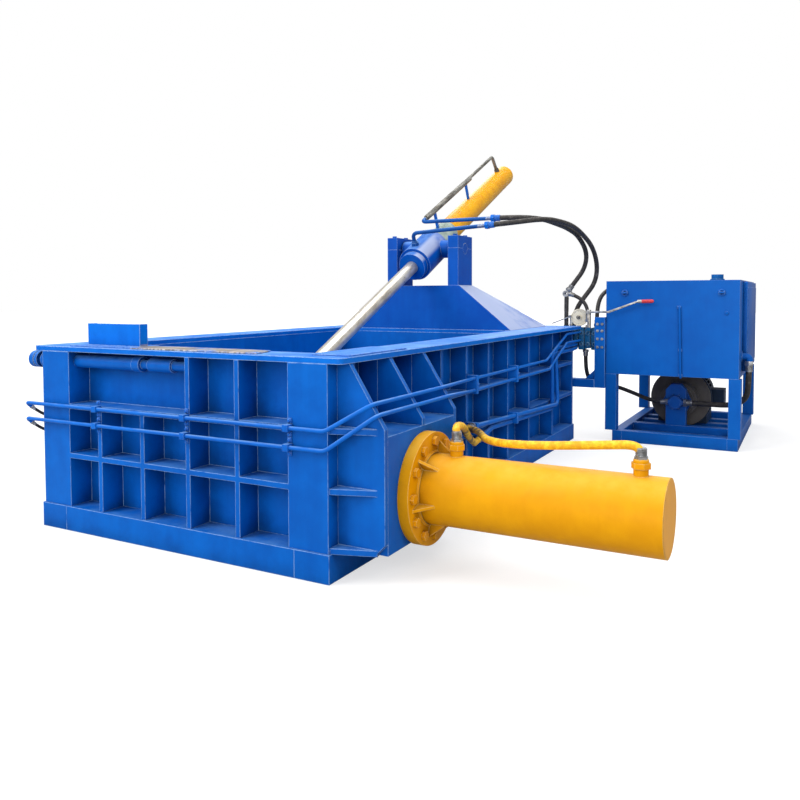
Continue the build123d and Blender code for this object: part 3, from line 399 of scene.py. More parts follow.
def rubber(place, code, worn, wear=0.2):
    """Hose cover: fine wrapped cloth marks in the rubber, rubbed where it bends, with dust and a painted sheen on top.
    """
    wrap = noise(place, 900.0, 2.0)
    rubs = noise(place, 26.0, 6.0, 0.75)
    pale = [min(255, c * 1.3 + 10) for c in code]
    colour = between(ramp(rubs, 0.40, 0.68), paint_colour(code), paint_colour(pale))
    film = ramp(rubs, 0.56, 0.66) * wear
    colour = between(film, colour, paint_colour(worn))
    # Dust and painted sheen: the hose's top turns towards the worn colour, which stands in for its highlight too
    dust = ramp(facing(place, 2), 0.2, 0.9) * 0.35
    colour = between(dust * ramp(rubs, 0.35, 0.6), colour, paint_colour(worn))
    return Coat(colour, 0.50 + rubs * 0.22, 0.0, wrap)


def finish(material, place, coat, normal=None, depth=0.0010, shine=0.12):
    """Joins a coat to the surface shader."""
    return close(
        material, place, coat.colour, coat.rough, coat.metal, coat.height, depth, normal, shine=shine
    )


# Places on the machine in metres, and the lean of the lid cylinder in radians
TRUNNION = (0, 1.1, 1.831)
LID_CYLINDER_LEAN = 0.455
GRIP_START = 1.70
GAUGE_AT = (1.083, 2.237, 1.191)
LEVER_PIVOT = (1.198, 2.126, 1.246)
SIDE_PORTS = (1.505, 2.425)
PUMP_X, PUMP_Z = 1.92, 0.345

BLUE = (0, 98, 192)
BLUE_DEEP = (0, 78, 166)
# The pale blue is painted sky sheen and dust on top, and shows where edges are worn
BLUE_SHEEN_DUST_AND_WEAR = (96, 158, 226)
STEEL = (178, 176, 172)
RUST = (116, 84, 62)


def plain_paint(name, face, deep, dusty, **options):
    material, place = start(name)
    coat, normal = painted(place, face, deep, dusty, **options)
    return finish(material, place, coat, normal)


# Each paint's third colour is its painted sky sheen and dust on top, and shows on worn edges and chips
blue_walls = plain_paint("blue_walls", BLUE, BLUE_DEEP, BLUE_SHEEN_DUST_AND_WEAR)
blue_rim = plain_paint("blue_rim", (0, 108, 208), (0, 88, 186), (132, 184, 236), dust=0.6, wear=0.8)
blue_tank = plain_paint(
    "blue_tank", (0, 94, 184), (0, 80, 168), (90, 146, 212), dust=0.3, wear=0.35, gloss=0.32
)
blue_pipe = plain_paint(
    "blue_pipe", (14, 108, 206), (4, 82, 176), (140, 190, 238), wear=0.5, edge=0.002, corner=0.03
)
yellow_barrel = plain_paint(
    "yellow_barrel", (228, 160, 4), (212, 142, 1), (246, 202, 84),
    dust=0.4, wear=0.4, gloss=0.36, corner=0.12,
)
motor_dark = plain_paint("motor_dark", (34, 54, 78), (22, 34, 52), (92, 104, 122), wear=0.4, edge=0.003)
bell_grey = plain_paint("bell_grey", (104, 100, 96), (70, 66, 64), (150, 146, 140), wear=0.5, edge=0.004)
cap_blue = plain_paint(
    "cap_blue", (24, 108, 176), (10, 80, 148), (120, 170, 200), dust=0.4, wear=0.5, edge=0.003
)


def tower_paint():
    """The tower's paint, with a painted pale lavender sky reflection on the side that slopes to the right."""
    material, place = start("blue_tower")
    coat, normal = painted(place, (0, 88, 184), (0, 70, 164), (120, 170, 230), wear=0.5)
    # Painted sky reflection: faces that point up and to the right turn pale lavender, broken by noise
    slope = ramp(facing(place, 2), 0.25, 0.5) * ramp(facing(place, 0), 0.25, 0.5)
    film = slope * ramp(noise(place, 2.2, 5.0), 0.22, 0.5)
    coat.colour = between(film * 0.92, coat.colour, paint_colour((164, 176, 208)))
    return finish(material, place, coat, normal)


def rod_chrome():
    """Hard chromed rod under a film of pale grease, with drawn streaks along it."""
    material, place = start("rod_chrome")
    film = noise(place, 3.0, 4.0)
    drawn = noise(place, 30.0, 4.0, stretch=(4, 0.35, 0.35))
    specks = noise(place, 220.0, 2.0)
    grease = ramp(film * 0.5 + drawn * 0.5, 0.35, 0.65)
    colour = between(grease, paint_colour((190, 182, 168)), paint_colour((240, 235, 224)))
    grime_and_corner_shade = ramp(noise(place, 14.0, 6.0, 0.75), 0.62, 0.74)
    colour = between(grime_and_corner_shade * 0.6, colour, paint_colour((120, 112, 98)))
    return close(material, place, colour, 0.24 + grime_and_corner_shade * 0.3 + drawn * 0.1, 0.7, specks, 0.0002)


def worn_plate(name, code, rust, amount=0.4):
    material, place = start(name)
    normal, broken = rounded(place, 0.004)
    coat = bare(place, code, rust, amount)
    coat.colour = between(ramp(broken, 0.02, 0.14) * 0.5, coat.colour, paint_colour((206, 204, 198)))
    return finish(material, place, coat, normal, 0.0006, 0.4)


def rim_finish():
    """The rim's guard and corner plate in blue, and the strip on the front rim worn to bare steel."""
    material, place = start("rim_fittings_finish")
    coat, normal = painted(place, (0, 112, 214), (0, 92, 190), (140, 190, 238), dust=0.4, wear=0.7)
    strip = within(place, (0, -0.32, 0.595), (2, 1.108, 1.13)) * past(place, 1, -1.95, -0.004)
    worn = ramp(noise(place, 7.0, 5.0, 0.7, stretch=(0.6, 2.0, 1)), 0.36, 0.5)
    steel = bare(place, (212, 200, 190), RUST, 0.25)
    return finish(material, place, coat.under(strip * worn, steel), normal)


def lid_pipe_finish():
    """The lid cylinder's pipes: bare grey along the barrel, blue across to the hoses."""
    material, place = start("lid_pipe_finish")
    grey = bare(place, (150, 148, 140), (96, 84, 70), 0.5, 0.5)
    blue, normal = painted(
        place, (22, 84, 158), (10, 56, 122), (110, 168, 226), dust=0.7, wear=0.6, edge=0.002, corner=0.03
    )
    coat = grey.under(past(place, 0, 0.045), blue)
    coat = coat.under(past(place, 1, 1.0, -0.004), blue)
    rubbed_end = past(place, 0, 0.618) * 0.5
    return finish(material, place, coat.under(rubbed_end, zinc(place)), normal)


def valve_finish():
    """The valve block: teal cast sections, zinc studs, pale stems and nuts, black under the riser."""
    material, place = start("valve_finish")
    teal, normal = painted(
        place, (22, 92, 142), (10, 62, 108), (120, 160, 186), dust=0.6, wear=0.7, edge=0.003, corner=0.05
    )
    studs = 1 - within(place, (0, 0.934, 1.341))
    above = past(place, 2, 1.097)
    riser_foot = within(place, (0, 0.935, 0.995), (2, 1.097, 1.391))
    coat = teal.under(studs * (1 - above), zinc(place))
    coat = coat.under(above * (1 - riser_foot), zinc(place, (206, 200, 186)))
    coat = coat.under(riser_foot, rubber(place, (38, 37, 36), (110, 106, 100), 0.4))
    return finish(material, place, coat, normal)


def lever_finish():
    """The cranked lever: zinc plated, with a moulded red grip."""
    material, place = start("lever_finish")
    metal = zinc(place, (206, 204, 198))
    mould = noise(place, 60.0, 4.0)
    grip_colour = between(mould, paint_colour((176, 34, 44)), paint_colour((222, 66, 72)))
    red = Coat(grip_colour, 0.4 + mould * 0.15, 0.0, mould)
    return finish(material, place, metal.under(past(place, 0, GRIP_START), red), None, 0.0006, 0.4)


def gauge_finish():
    """The gauge: cream all over, with a dark hub and a thin ring of marks round the dial."""
    material, place = start("gauge_finish")
    across = reach(place, 0) - GAUGE_AT[0]
    up = reach(place, 2) - GAUGE_AT[2]
    radius = place.maths("SQRT", across * across + up * up)
    spots = noise(place, 40.0, 4.0)
    cream = between(spots, paint_colour((206, 196, 170)), paint_colour((238, 232, 212)))
    front = ramp(facing(place, 1), -0.5, -0.9)
    hub = ramp(radius, 0.022, 0.019)
    turn = place.maths("ARCTAN2", up, across)
    ring = ramp(radius, 0.052, 0.054) * ramp(radius, 0.066, 0.064)
    marks = ramp(place.maths("COSINE", turn * 24.0), 0.90, 0.97) * ring
    printed = front * place.maths("MAXIMUM", hub, marks * 0.8)
    colour = between(printed, cream, paint_colour((52, 52, 56)))
    return close(material, place, colour, 0.34 + spots * 0.1, 0.0, spots, 0.0003, coat=0.3)


def bolt_finish():
    """Bolts painted over with what they hold: yellow on the cylinders, blue on the tower."""
    material, place = start("bolt_finish")
    yellow, normal = painted(
        place, (226, 158, 8), (192, 122, 4), (244, 200, 100), dust=0.3, wear=0.8, edge=0.002, corner=0.05
    )
    blue = painted(place, BLUE, BLUE_DEEP, BLUE_SHEEN_DUST_AND_WEAR, wear=0.8, edge=0.002, corner=0.05)[0]
    return finish(material, place, yellow.under(past(place, 2, 1.3), blue), normal)


def hose_finish(name, code, worn, wear):
    material, place = start(name)
    return finish(material, place, rubber(place, code, worn, wear), None, 0.0006, 0.4)


def side_hose_finish():
    """The side cylinder's hoses: painted over in yellow, worn to grey rubber on their way to the wall."""
    material, place = start("side_hose_finish")
    yellow = rubber(place, (222, 160, 18), (250, 206, 90), 0.6)
    grey = rubber(place, (104, 84, 46), (60, 56, 52), 0.8)
    worn = ramp(reach(place, 1), -1.42, -1.10) * ramp(noise(place, 12.0, 5.0, 0.7), 0.42, 0.60)
    coat = yellow.under(worn * ramp(reach(place, 1), -0.4, -0.8), grey)
    return finish(material, place, coat, None, 0.0006, 0.3)


def barrel_with_primer():
    """The lid cylinder's barrel: yellow paint that stops at a band left in primer by the head."""
    material, place = start("barrel_with_primer")
    slope = Vector((0, 1.885, 0.922)).normalized()
    dot_product = {"operation": "DOT_PRODUCT"}
    along = place.make("ShaderNodeVectorMath", dot_product, {0: place, 1: slope}, out=1)
    along = along - slope.dot(Vector(TRUNNION))
    mottle = noise(place, 9.0, 5.0)
    ragged = noise(place, 30.0, 3.0) * 0.02 - 0.01
    yellow = between(ramp(mottle, 0.35, 0.65), paint_colour((222, 152, 4)), paint_colour((234, 170, 10)))
    primer = between(ramp(mottle, 0.35, 0.65), paint_colour((140, 156, 146)), paint_colour((182, 196, 184)))
    painted_part = ramp(along + ragged, 0.418, 0.424)
    colour = between(painted_part, primer, yellow)
    return close(material, place, colour, 0.5 - painted_part * 0.22, height=mottle, depth=0.001, coat=0.1)


# The camera stands where the photograph was taken from
YAW, PITCH, ROLL = (math.radians(a) for a in (-28.401, -2.443, -0.161))
ahead = Vector((math.sin(YAW) * math.cos(PITCH), math.cos(YAW) * math.cos(PITCH), math.sin(PITCH)))
level = Vector((math.cos(YAW), -math.sin(YAW), 0))
above = level.cross(ahead)
across = math.cos(ROLL) * level + math.sin(ROLL) * above
over = math.cos(ROLL) * above - math.sin(ROLL) * level
lens = bpy.data.cameras.new("photo_camera")
lens.lens = 34.354
lens.sensor_width = 36
lens.shift_x = 0.00075
lens.shift_y = -0.08975
lens.clip_end = 200
camera = bpy.data.objects.new("photo_camera", lens)
stand = Matrix.Translation((3.100, -5.221, 1.410))
camera.matrix_world = stand @ Matrix((across, over, -ahead)).transposed().to_4x4()
scene.collection.objects.link(camera)
scene.camera = camera


class Shape:
    """Plates, turned pieces and tubes gathered into one mesh."""

    def __init__(self):
        self.mesh = bmesh.new()

    def broken(self, made, edge):
        edges = {e for v in made for e in v.link_edges}
        bmesh.ops.bevel(self.mesh, geom=list(edges), offset=edge, segments=2, profile=0.5, affect="EDGES")
        return self

    def prism(self, outline, along, edge=0.003):
        """A flat outline drawn out by the vector along, with broken edges."""
        foot = [self.mesh.verts.new(p) for p in outline]
        top = [self.mesh.verts.new(Vector(p) + Vector(along)) for p in outline]
        self.mesh.faces.new(foot[::-1])
        self.mesh.faces.new(top)
        for i in range(len(foot)):
            j = (i + 1) % len(foot)
            self.mesh.faces.new((foot[i], foot[j], top[j], top[i]))
        return self.broken(foot + top, edge) if edge else self

    def plate(self, low, high, edge=0.003):
        """A plate between two opposite corners."""
        (x0, y0, z0), (x1, y1, z1) = low, high
        return self.prism([(x0, y0, z0), (x1, y0, z0), (x1, y1, z0), (x0, y1, z0)], (0, 0, z1 - z0), edge)

    def skin(self, rings):
        """Faces between one ring of points and the next; a ring of one point is a tip."""
        for low, high in zip(rings, rings[1:]):
            count = max(len(low), len(high))
            for i in range(count):
                j = (i + 1) % count
                face = [low[i % len(low)], low[j % len(low)], high[j % len(high)], high[i % len(high)]]
                self.mesh.faces.new(list(dict.fromkeys(face)))

    def turned(self, foot, axis, profile, sides=32):
        """A lathe piece: profile lists (along the axis from the foot, radius)."""
        axis = Vector(axis).normalized()
        side = axis.cross(Vector((0, 0, 1)) if abs(axis.z) < 0.9 else Vector((1, 0, 0))).normalized()
        other = axis.cross(side)
        rings = []
        for along, radius in profile:
            centre = Vector(foot) + axis * along
            turns = [2 * math.pi * i / sides for i in range(sides if radius else 1)]
            ring = [centre + radius * (math.cos(t) * side + math.sin(t) * other) for t in turns]
            rings.append([self.mesh.verts.new(p) for p in ring])
        self.skin(rings)
        return self

    def nut(self, foot, axis, radius, height):
        """A hexagon nut or bolt head that stands on foot."""
        outline = [(0, 0), (0, radius), (height * 0.8, radius), (height, radius * 0.86), (height, 0)]
        return self.turned(foot, axis, outline, sides=6)

    def union(self, end, inner, radius, length):
        """A crimped hose end or pipe union: it starts at end and points away from inner."""
        away = Vector(end) - Vector(inner)
        crimp = [(0, 0), (0, radius * 0.9)]
        for i in range(5):
            step = length * 0.55 * (i + 0.5) / 5
            crimp += [(step, radius * 0.9), (step + length * 0.02, radius), (step + length * 0.07, radius)]
        crimp += [(length * 0.55, radius * 0.8), (length * 0.6, radius * 0.8), (length * 0.6, 0)]
        self.turned(end, away, crimp, sides=24)
        face = Vector(end) + away.normalized() * length * 0.6
        return self.nut(face, away, radius * 1.25, length * 0.4)

    def tube(self, corners, radius, bend, sides=16):
        """A hard pipe: straight runs joined by bends."""
        spots = [Vector(c) for c in corners]
        line = [spots[0]]
        for before, corner, after in zip(spots, spots[1:], spots[2:]):
            run, way = (corner - before), (after - corner)
            turn = run.angle(way)
            back = min(bend * math.tan(turn / 2), 0.45 * min(run.length, way.length))
            sweep = back / math.tan(turn / 2)
            ahead = run.normalized()
            inward = (way.normalized() - ahead * math.cos(turn)) / math.sin(turn)
            steps = max(3, round(turn / 0.2))
            for i in range(steps + 1):
                angle = turn * i / steps
                inside = math.sin(angle) * ahead + (1 - math.cos(angle)) * inward
                line.append(corner - ahead * back + sweep * inside)
        line.append(spots[-1])
        side = (line[1] - line[0]).orthogonal().normalized()
        rings = [[self.mesh.verts.new(line[0])]]
        for i, spot in enumerate(line):
            ahead = (line[min(i + 1, len(line) - 1)] - line[max(i - 1, 0)]).normalized()
            side = (side - ahead * side.dot(ahead)).normalized()
            other = ahead.cross(side)
            turns = [2 * math.pi * k / sides for k in range(sides)]
            ring = [spot + radius * (math.cos(t) * side + math.sin(t) * other) for t in turns]
            rings.append([self.mesh.verts.new(p) for p in ring])
        self.skin(rings + [[self.mesh.verts.new(line[-1])]])
        return self

    def done(self, name, material, body="press", replaces=(), slot=None):
        """Turns the shape into a piece that rides on a body."""
        bmesh.ops.recalc_face_normals(self.mesh, faces=self.mesh.faces)
        for face in self.mesh.faces:
            face.smooth = True
        for edge in self.mesh.edges:
            edge.smooth = len(edge.link_faces) == 2 and edge.calc_face_angle(0) < math.radians(38)
        made = bpy.data.meshes.new(name)
        self.mesh.to_mesh(made)
        self.mesh.free()
        made.materials.append(material)
        piece = bpy.data.objects.new(name, made)
        scene.collection.objects.link(piece)
        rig.ride(piece, body)
        for node in replaces:
            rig.replaces(piece, node)
        if slot:
            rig.slot(piece, slot)
        return piece


def smooth_line(name, corners, radius=0.0):
    """An open NURBS curve that takes a route's corners as its control points."""
    curve = bpy.data.curves.new(name, "CURVE")
    curve.dimensions = "3D"
    spline = curve.splines.new("NURBS")
    spline.points.add(len(corners) - 1)
    for point, corner in zip(spline.points, corners):
        point.co = (*corner, 1)
    spline.order_u = 3
    spline.use_endpoint_u = True
    spline.resolution_u = 10
    curve.bevel_depth = radius
    curve.bevel_resolution = 4
    curve.use_fill_caps = True
    line = bpy.data.objects.new(name, curve)
    scene.collection.objects.link(line)
    return line


def solid_of(piece):
    """The mesh that a curve, or a piece with a cutter on it, comes out as."""
    bpy.context.view_layer.update()
    seen = piece.evaluated_get(bpy.context.evaluated_depsgraph_get())
    return bpy.data.meshes.new_from_object(seen)


def points_on(corners):
    """The points along the middle of a route's smooth line."""
    line = smooth_line("centre", corners)
    mesh = solid_of(line)
    places = [vertex.co.copy() for vertex in mesh.vertices]
    bpy.data.objects.remove(line)
    bpy.data.meshes.remove(mesh)
    return places


# Hoses: the corners of each route, then its diameter and length
HOSES = {
    "lid_hose_cap": ([
        (0.987, 2.2, 1.461), (1.036, 2.205, 1.526), (1.14, 2.215, 1.669), (1.18, 2.145, 1.826),
        (1.14, 1.96, 1.976), (1.11, 1.7, 2.026), (1.1, 1.4, 2.041), (1.06, 1.12, 2.063),
        (0.89, 0.9451, 2.0703), (0.69, 0.9451, 2.0703),
    ], 0.044, 1.93),
    "lid_hose_head": ([
        (1.013, 2.258, 1.118), (1.04, 2.266, 1.271), (1.11, 2.292, 1.381), (1.215, 2.33, 1.531),
        (1.245, 2.29, 1.706), (1.235, 2.13, 1.876), (1.2, 1.89, 1.981), (1.2, 1.57, 2.031),
        (1.19, 1.24, 2.041), (1.13, 0.95, 2.046), (0.9146, 0.7603, 2.0065), (0.7099, 0.7603, 1.9953),
    ], 0.044, 2.55),
    "valve_hose": ([
        (0.999, 2.2, 1.423), (1.085, 2.2, 1.392), (1.151, 2.2, 1.329), (1.179, 2.2, 1.245),
        (1.179, 2.2, 1.171),
    ], 0.036, 0.34),
    "return_hose": ([
        (1.25, 2.26, 1.118), (1.25, 2.26, 1.255), (1.26, 2.325, 1.38), (1.285, 2.46, 1.448),
        (1.292, 2.62, 1.47), (1.336, 2.735, 1.47),
    ], 0.04, 0.7),
    "pressure_hose": ([
        (1.14, 2.27, 0.863), (1.14, 2.27, 0.735), (1.142, 2.325, 0.62), (1.155, 2.43, 0.545),
        (1.2, 2.575, 0.51), (1.33, 2.7, 0.48), (1.52, 2.735, 0.41), (1.69, 2.718, 0.345),
        (1.83, 2.718, 0.345),
    ], 0.04, 1.23),
    "suction_hose": ([
        (2.01, 2.718, 0.345), (2.19, 2.718, 0.345), (2.43, 2.705, 0.345), (2.575, 2.53, 0.43),
        (2.6, 2.44, 0.597), (2.6, 2.44, 0.77),
    ], 0.052, 1),
    "side_hose_cap": ([
        (2.425, -1.655, 0.66), (2.425, -1.655, 0.7), (2.39, -1.655, 0.724), (2.29, -1.655, 0.714),
        (1.95, -1.65, 0.678), (1.74, -1.6, 0.66), (1.56, -1.38, 0.626), (1.43, -1.12, 0.596),
        (1.28, -0.865, 0.581), (1.1, -0.6598, 0.5331), (1.1, -0.51, 0.526),
    ], 0.042, 2.01),
    "side_hose_head": ([
        (1.505, -1.655, 0.66), (1.505, -1.655, 0.7), (1.49, -1.63, 0.724), (1.45, -1.52, 0.718),
        (1.36, -1.24, 0.666), (1.262, -0.935, 0.541), (1.17, -0.62, 0.444), (1.0845, -0.4187, 0.4021),
        (1.08, -0.29, 0.42),
    ], 0.042, 1.52),
    "door_hose_front": ([
        (-1.118, -1.262, 0.8), (-1.172, -1.264, 0.8), (-1.19, -1.335, 0.792), (-1.188, -1.5, 0.752),
        (-1.18, -1.71, 0.668), (-1.168, -1.93, 0.64), (-1.165, -2.0603, 0.6533), (-1.165, -2.1465, 0.725),
    ], 0.018, 0.97),
    "door_hose_rear": ([
        (-1.118, -0.58, 0.8), (-1.17, -0.7, 0.8), (-1.2, -0.83, 0.778), (-1.2, -1.02, 0.703),
        (-1.2, -1.235, 0.63), (-1.195, -1.465, 0.575), (-1.182, -1.7, 0.545), (-1.17, -1.925, 0.54),
        (-1.165, -2.0603, 0.5563), (-1.165, -2.1465, 0.628),
    ], 0.018, 1.64),
    "valve_riser": ([
        (0.965, 2.2, 1.098), (0.963, 2.2, 1.245), (0.965, 2.2, 1.392),
    ], 0.044, 0.29),
}


def fitting(name, end, inner, diameter, body="press", cover=None):
    """The crimped union on a hose's end, which reaches past it onto a pipe or a port."""
    back = (Vector(inner) - Vector(end)).normalized()
    start = Vector(end) + back * diameter * 1.3
    return Shape().union(start, start + back, diameter * 0.62, diameter * 1.9).done(
        name, cover or zinc_fittings, body, slot="zinc_steel"
    )


def lay_hose(name, cover, far_end="fitting", pieces=()):
    """A hose between two places of the press, with a union on its far end where pieces names none."""
    corners, diameter, length = HOSES[name]
    hose = smooth_line(name, corners, diameter / 2)
    hose.data.materials.append(cover)
    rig.ride(hose, "press")
    if far_end == "fitting" and not pieces:
        pieces = [fitting(name + "_far_union", corners[-1], corners[-2], diameter)]
    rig.cord(
        hose, exit=corners[0], length=length, diameter=diameter, far_end=far_end, stiffness="stiff",
        lay="loose", with_pieces=pieces,
    )


def lay_lid_hose(name, cover):
    """A hose from the valve to a union on the lid cylinder, which bends as the cylinder swings."""
    corners, diameter, length = HOSES[name]
    line = smooth_line(name + "_line", corners, diameter / 2)
    mesh = solid_of(line)
    bpy.data.objects.remove(line)
    hose = bpy.data.objects.new(name, mesh)
    scene.collection.objects.link(hose)
    mesh.materials.clear()
    mesh.materials.append(cover)
    mesh.polygons.foreach_set("use_smooth", [True] * len(mesh.polygons))
    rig.blend(hose, "press", "lid_cylinder", start=HOSE_BENDS_FROM, end=HOSE_BENDS_TO)
    end = fitting(name + "_far_union", corners[-1], corners[-2], diameter, "lid_cylinder", blue_pipe)
    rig.cord(
        hose, exit=corners[0], length=length, diameter=diameter, far_end="fitting", stiffness="stiff",
        lay="loose", path=points_on(corners), with_pieces=[end],
    )


HOSE_BENDS_FROM = (1.15, 2.10, 1.90)
HOSE_BENDS_TO = (0.95, 0.95, 2.03)
black_hose = hose_finish("black_hose", (40, 38, 37), (112, 106, 100), 0.5)
side_hose = side_hose_finish()
zinc_fittings = plain_zinc("zinc_fittings")
tee_ring = [
    (0, 0.013), (0, 0.030), (0.004, 0.033), (0.060, 0.033), (0.064, 0.030), (0.064, 0.013), (0, 0.013)
]
tee = Shape().turned((0.965, 2.168, 1.425), (0, 1, 0), tee_ring)
tee = tee.done("riser_tee", zinc_fittings, slot="zinc_steel")
lay_hose("valve_riser", black_hose, "fitting", [tee])
for name in ("lid_hose_cap", "lid_hose_head"):
    lay_lid_hose(name, black_hose)
for name in ("valve_hose", "pressure_hose", "suction_hose", "door_hose_front", "door_hose_rear"):
    lay_hose(name, black_hose)
lay_hose("return_hose", black_hose, "object")
for name in ("side_hose_cap", "side_hose_head"):
    lay_hose(name, side_hose)


# Pipes that run along the front and the right side, from the door to the valve
FRONT_PIPES = (
    [
        (-1.165, -2.1465, 0.725), (-1.165, -2.185, 0.757), (1.045, -2.185, 0.757), (1.2555, -2.095, 0.888),
        (1.2555, -1.255, 0.888), (1.107, -0.525, 0.852), (1.107, 1.105, 0.852), (1.107, 1.725, 1.05),
        (1.107, 2.177, 1.05),
    ],
    [
        (-1.165, -2.1465, 0.628), (-1.165, -2.185, 0.66), (1.045, -2.185, 0.66), (1.2871, -2.095, 0.838),
        (1.2871, -1.255, 0.838), (1.107, -0.525, 0.771), (1.107, 1.195, 0.771), (1.107, 1.725, 0.969),
        (1.107, 2.177, 0.969),
    ],
)
FEED_PIPES = (
    [(1.1, -0.51, 0.526), (1.1, 1.463, 0.432), (1.068, 1.493, 0.93), (1.068, 2.177, 0.93)],
    [
        (1.08, -0.29, 0.42), (1.072, -0.06, 0.452), (1.072, 1.388, 0.4), (1.068, 1.403, 0.885),
        (1.068, 2.035, 0.885), (1.068, 2.177, 0.893),
    ],
)


def lay_pipes():
    """The hard pipes with the clamps that hold them."""
    pipes = Shape()
    for corners in FRONT_PIPES:
        pipes.tube(corners, 0.011, 0.06)
    for corners in FEED_PIPES:
        pipes.tube(corners, 0.017, 0.055)
    pipes.done("hard_pipes", blue_pipe, slot="blue_paint")
    clamps = Shape()
    for x in (-0.551, 0.135, 0.821):
        for z in (0.757, 0.66):
            clamps.plate((x - 0.017, -2.203, z - 0.018), (x + 0.017, -2.155, z + 0.018))
            for foot in (z - 0.034, z + 0.034):
                low, high = (x - 0.012, -2.163, foot - 0.012), (x + 0.012, -2.155, foot + 0.012)
                clamps.plate(low, high, 0.002)
                clamps.nut((x, -2.163, foot), (0, -1, 0), 0.008, 0.007)
    for y in (-0.455, 0.345):
        clamps.plate((1.045, y - 0.017, 0.745), (1.125, y + 0.017, 0.872))
        slide = 0.526 - (y + 0.51) * 0.0476
        clamps.plate((1.045, y - 0.017, slide - 0.06), (1.126, y + 0.017, slide + 0.026))
        for z in (0.811, slide - 0.018):
            clamps.nut((1.125, y, z), (1, 0, 0), 0.010, 0.008)
    clamps.done("pipe_clamps", blue_pipe, slot="blue_paint")


def on_barrel(along, above, across=0.0):
    """A place given along the lid cylinder's axis, above it and across it."""
    level, rise = math.cos(LID_CYLINDER_LEAN), math.sin(LID_CYLINDER_LEAN)
    return (
        across,
        TRUNNION[1] + along * level - above * rise,
        TRUNNION[2] + along * rise + above * level,
    )


def lay_lid_pipes():
    """The lid cylinder's two pipes, the sleeve on the upper one, their port bosses and clips."""
    level, rise = math.cos(LID_CYLINDER_LEAN), math.sin(LID_CYLINDER_LEAN)
    along_barrel, out = Vector((0, level, rise)), Vector((0, -rise, level))
    cap_port, head_port = 1.938, -0.246
    cap_run = [
        on_barrel(cap_port, 0.1115), on_barrel(1.866, 0.297), on_barrel(-0.034, 0.283),
        (0.685, 0.9451, 2.0703),
    ]
    head_run = [on_barrel(head_port, 0.152), on_barrel(-0.25, 0.262), (0.705, 0.7603, 1.995)]
    shape = Shape()
    for run in (cap_run, head_run):
        shape.tube(run, 0.017, 0.045)
    sleeve = [
        (0, 0.018), (0, 0.022), (0.012, 0.025), (0.6, 0.0255), (1.108, 0.025), (1.12, 0.022), (1.12, 0.018)
    ]
    shape.turned(on_barrel(0.06, 0.284), along_barrel, sleeve)
    boss = [(0, 0), (0, 0.024), (0.014, 0.024), (0.018, 0.018)]
    for along, radius, size in ((cap_port, 0.1095, 0.030), (head_port, 0.150, 0.036)):
        shape.nut(Vector(on_barrel(along, radius - 0.006)), out, size, 0.030)
        shape.turned(on_barrel(along, radius + 0.02), out, boss)
    shape.done("lid_cylinder_pipes", lid_pipe_finish(), "lid_cylinder", slot="blue_paint")
    clips = Shape()
    low, high = 0.1085, 0.262
    for along in (0.25, 1.05):
        corners = ((along - 0.02, low), (along + 0.02, low), (along + 0.02, high), (along - 0.02, high))
        clips.prism([on_barrel(a, h, -0.008) for a, h in corners], (0.016, 0, 0))
    clips.done("lid_pipe_clips", blue_pipe, "lid_cylinder", slot="blue_paint")


def lay_unions():
    """The crimped ends of the hoses on the valve and on the ports."""
    fittings = Shape()
    for name, (corners, diameter, length) in HOSES.items():
        if name != "valve_riser":
            back = (Vector(corners[1]) - Vector(corners[0])).normalized()
            start = Vector(corners[0]) + back * diameter * 1.3
            fittings.union(start, start + back, diameter * 0.62, diameter * 1.6)
    fittings.done("hose_unions", zinc_fittings, slot="zinc_steel")
    ports = Shape()
    boss = [(0, 0.034), (0.006, 0.036), (0.020, 0.034), (0.024, 0.026)]
    for x in SIDE_PORTS:
        ports.turned((x, -1.655, 0.640), (0, 0, 1), boss)
    for y in (-1.255, -0.565):
        ports.nut((-1.098, y, 0.8), (-1, 0, 0), 0.014, 0.018)
    ports.done("cylinder_ports", yellow_barrel, slot="yellow_paint")


def build_valve():
    """The valve block: five cast sections between end plates, with ports, stems, studs and nuts."""
    low, high, front, rear = 0.877, 1.095, 2.177, 2.305
    left, right = 0.935, 1.31
    port = [(0, 0), (0, 0.021), (0.008, 0.021), (0.012, 0.017), (0.012, 0.011), (0.004, 0.011), (0.004, 0)]
    stud = [(0, 0.011), (0.024, 0.011), (0.026, 0.009), (0.026, 0)]
    block = Shape()
    for i in range(5):
        x = 0.965 + i * 0.062
        foot, top = low + 0.014 * (i % 2), high - 0.012 * (i % 2)
        block.plate((x, front + 0.006, foot), (x + 0.054, rear, top), 0.006)
        for z in (low + 0.055, high - 0.055):
            block.turned((x + 0.027, front + 0.008, z), (0, -1, 0), port, sides=20)
    block.plate((left, front + 0.022, low + 0.02), (right + 0.03, rear - 0.01, high - 0.02), 0.004)
    for x in (left, right):
        block.plate((x, front, low), (x + 0.03, rear, high), 0.006)
    block.plate((1.182, front - 0.027, high - 0.035), (1.214, front + 0.008, 1.268), 0.005)
    block.plate((0.997, front + 0.022, high - 0.025), (1.023, front + 0.04, 1.216), 0.004)
    for y in (front + 0.028, rear - 0.028):
        for z in (low + 0.03, (low + high) / 2, high - 0.03):
            block.turned((left, y, z), (-1, 0, 0), stud, 12)
            block.nut((left, y, z), (-1, 0, 0), 0.019, 0.014)
    for x, y in ((0.965, 2.2), (1.013, 2.258), (1.179, 2.2), (1.25, 2.26)):
        block.nut((x, y, high - 0.01), (0, 0, 1), 0.026, 0.035)
    block.done("valve_sections", valve_finish(), replaces=["valve_block"], slot="valve_teal")


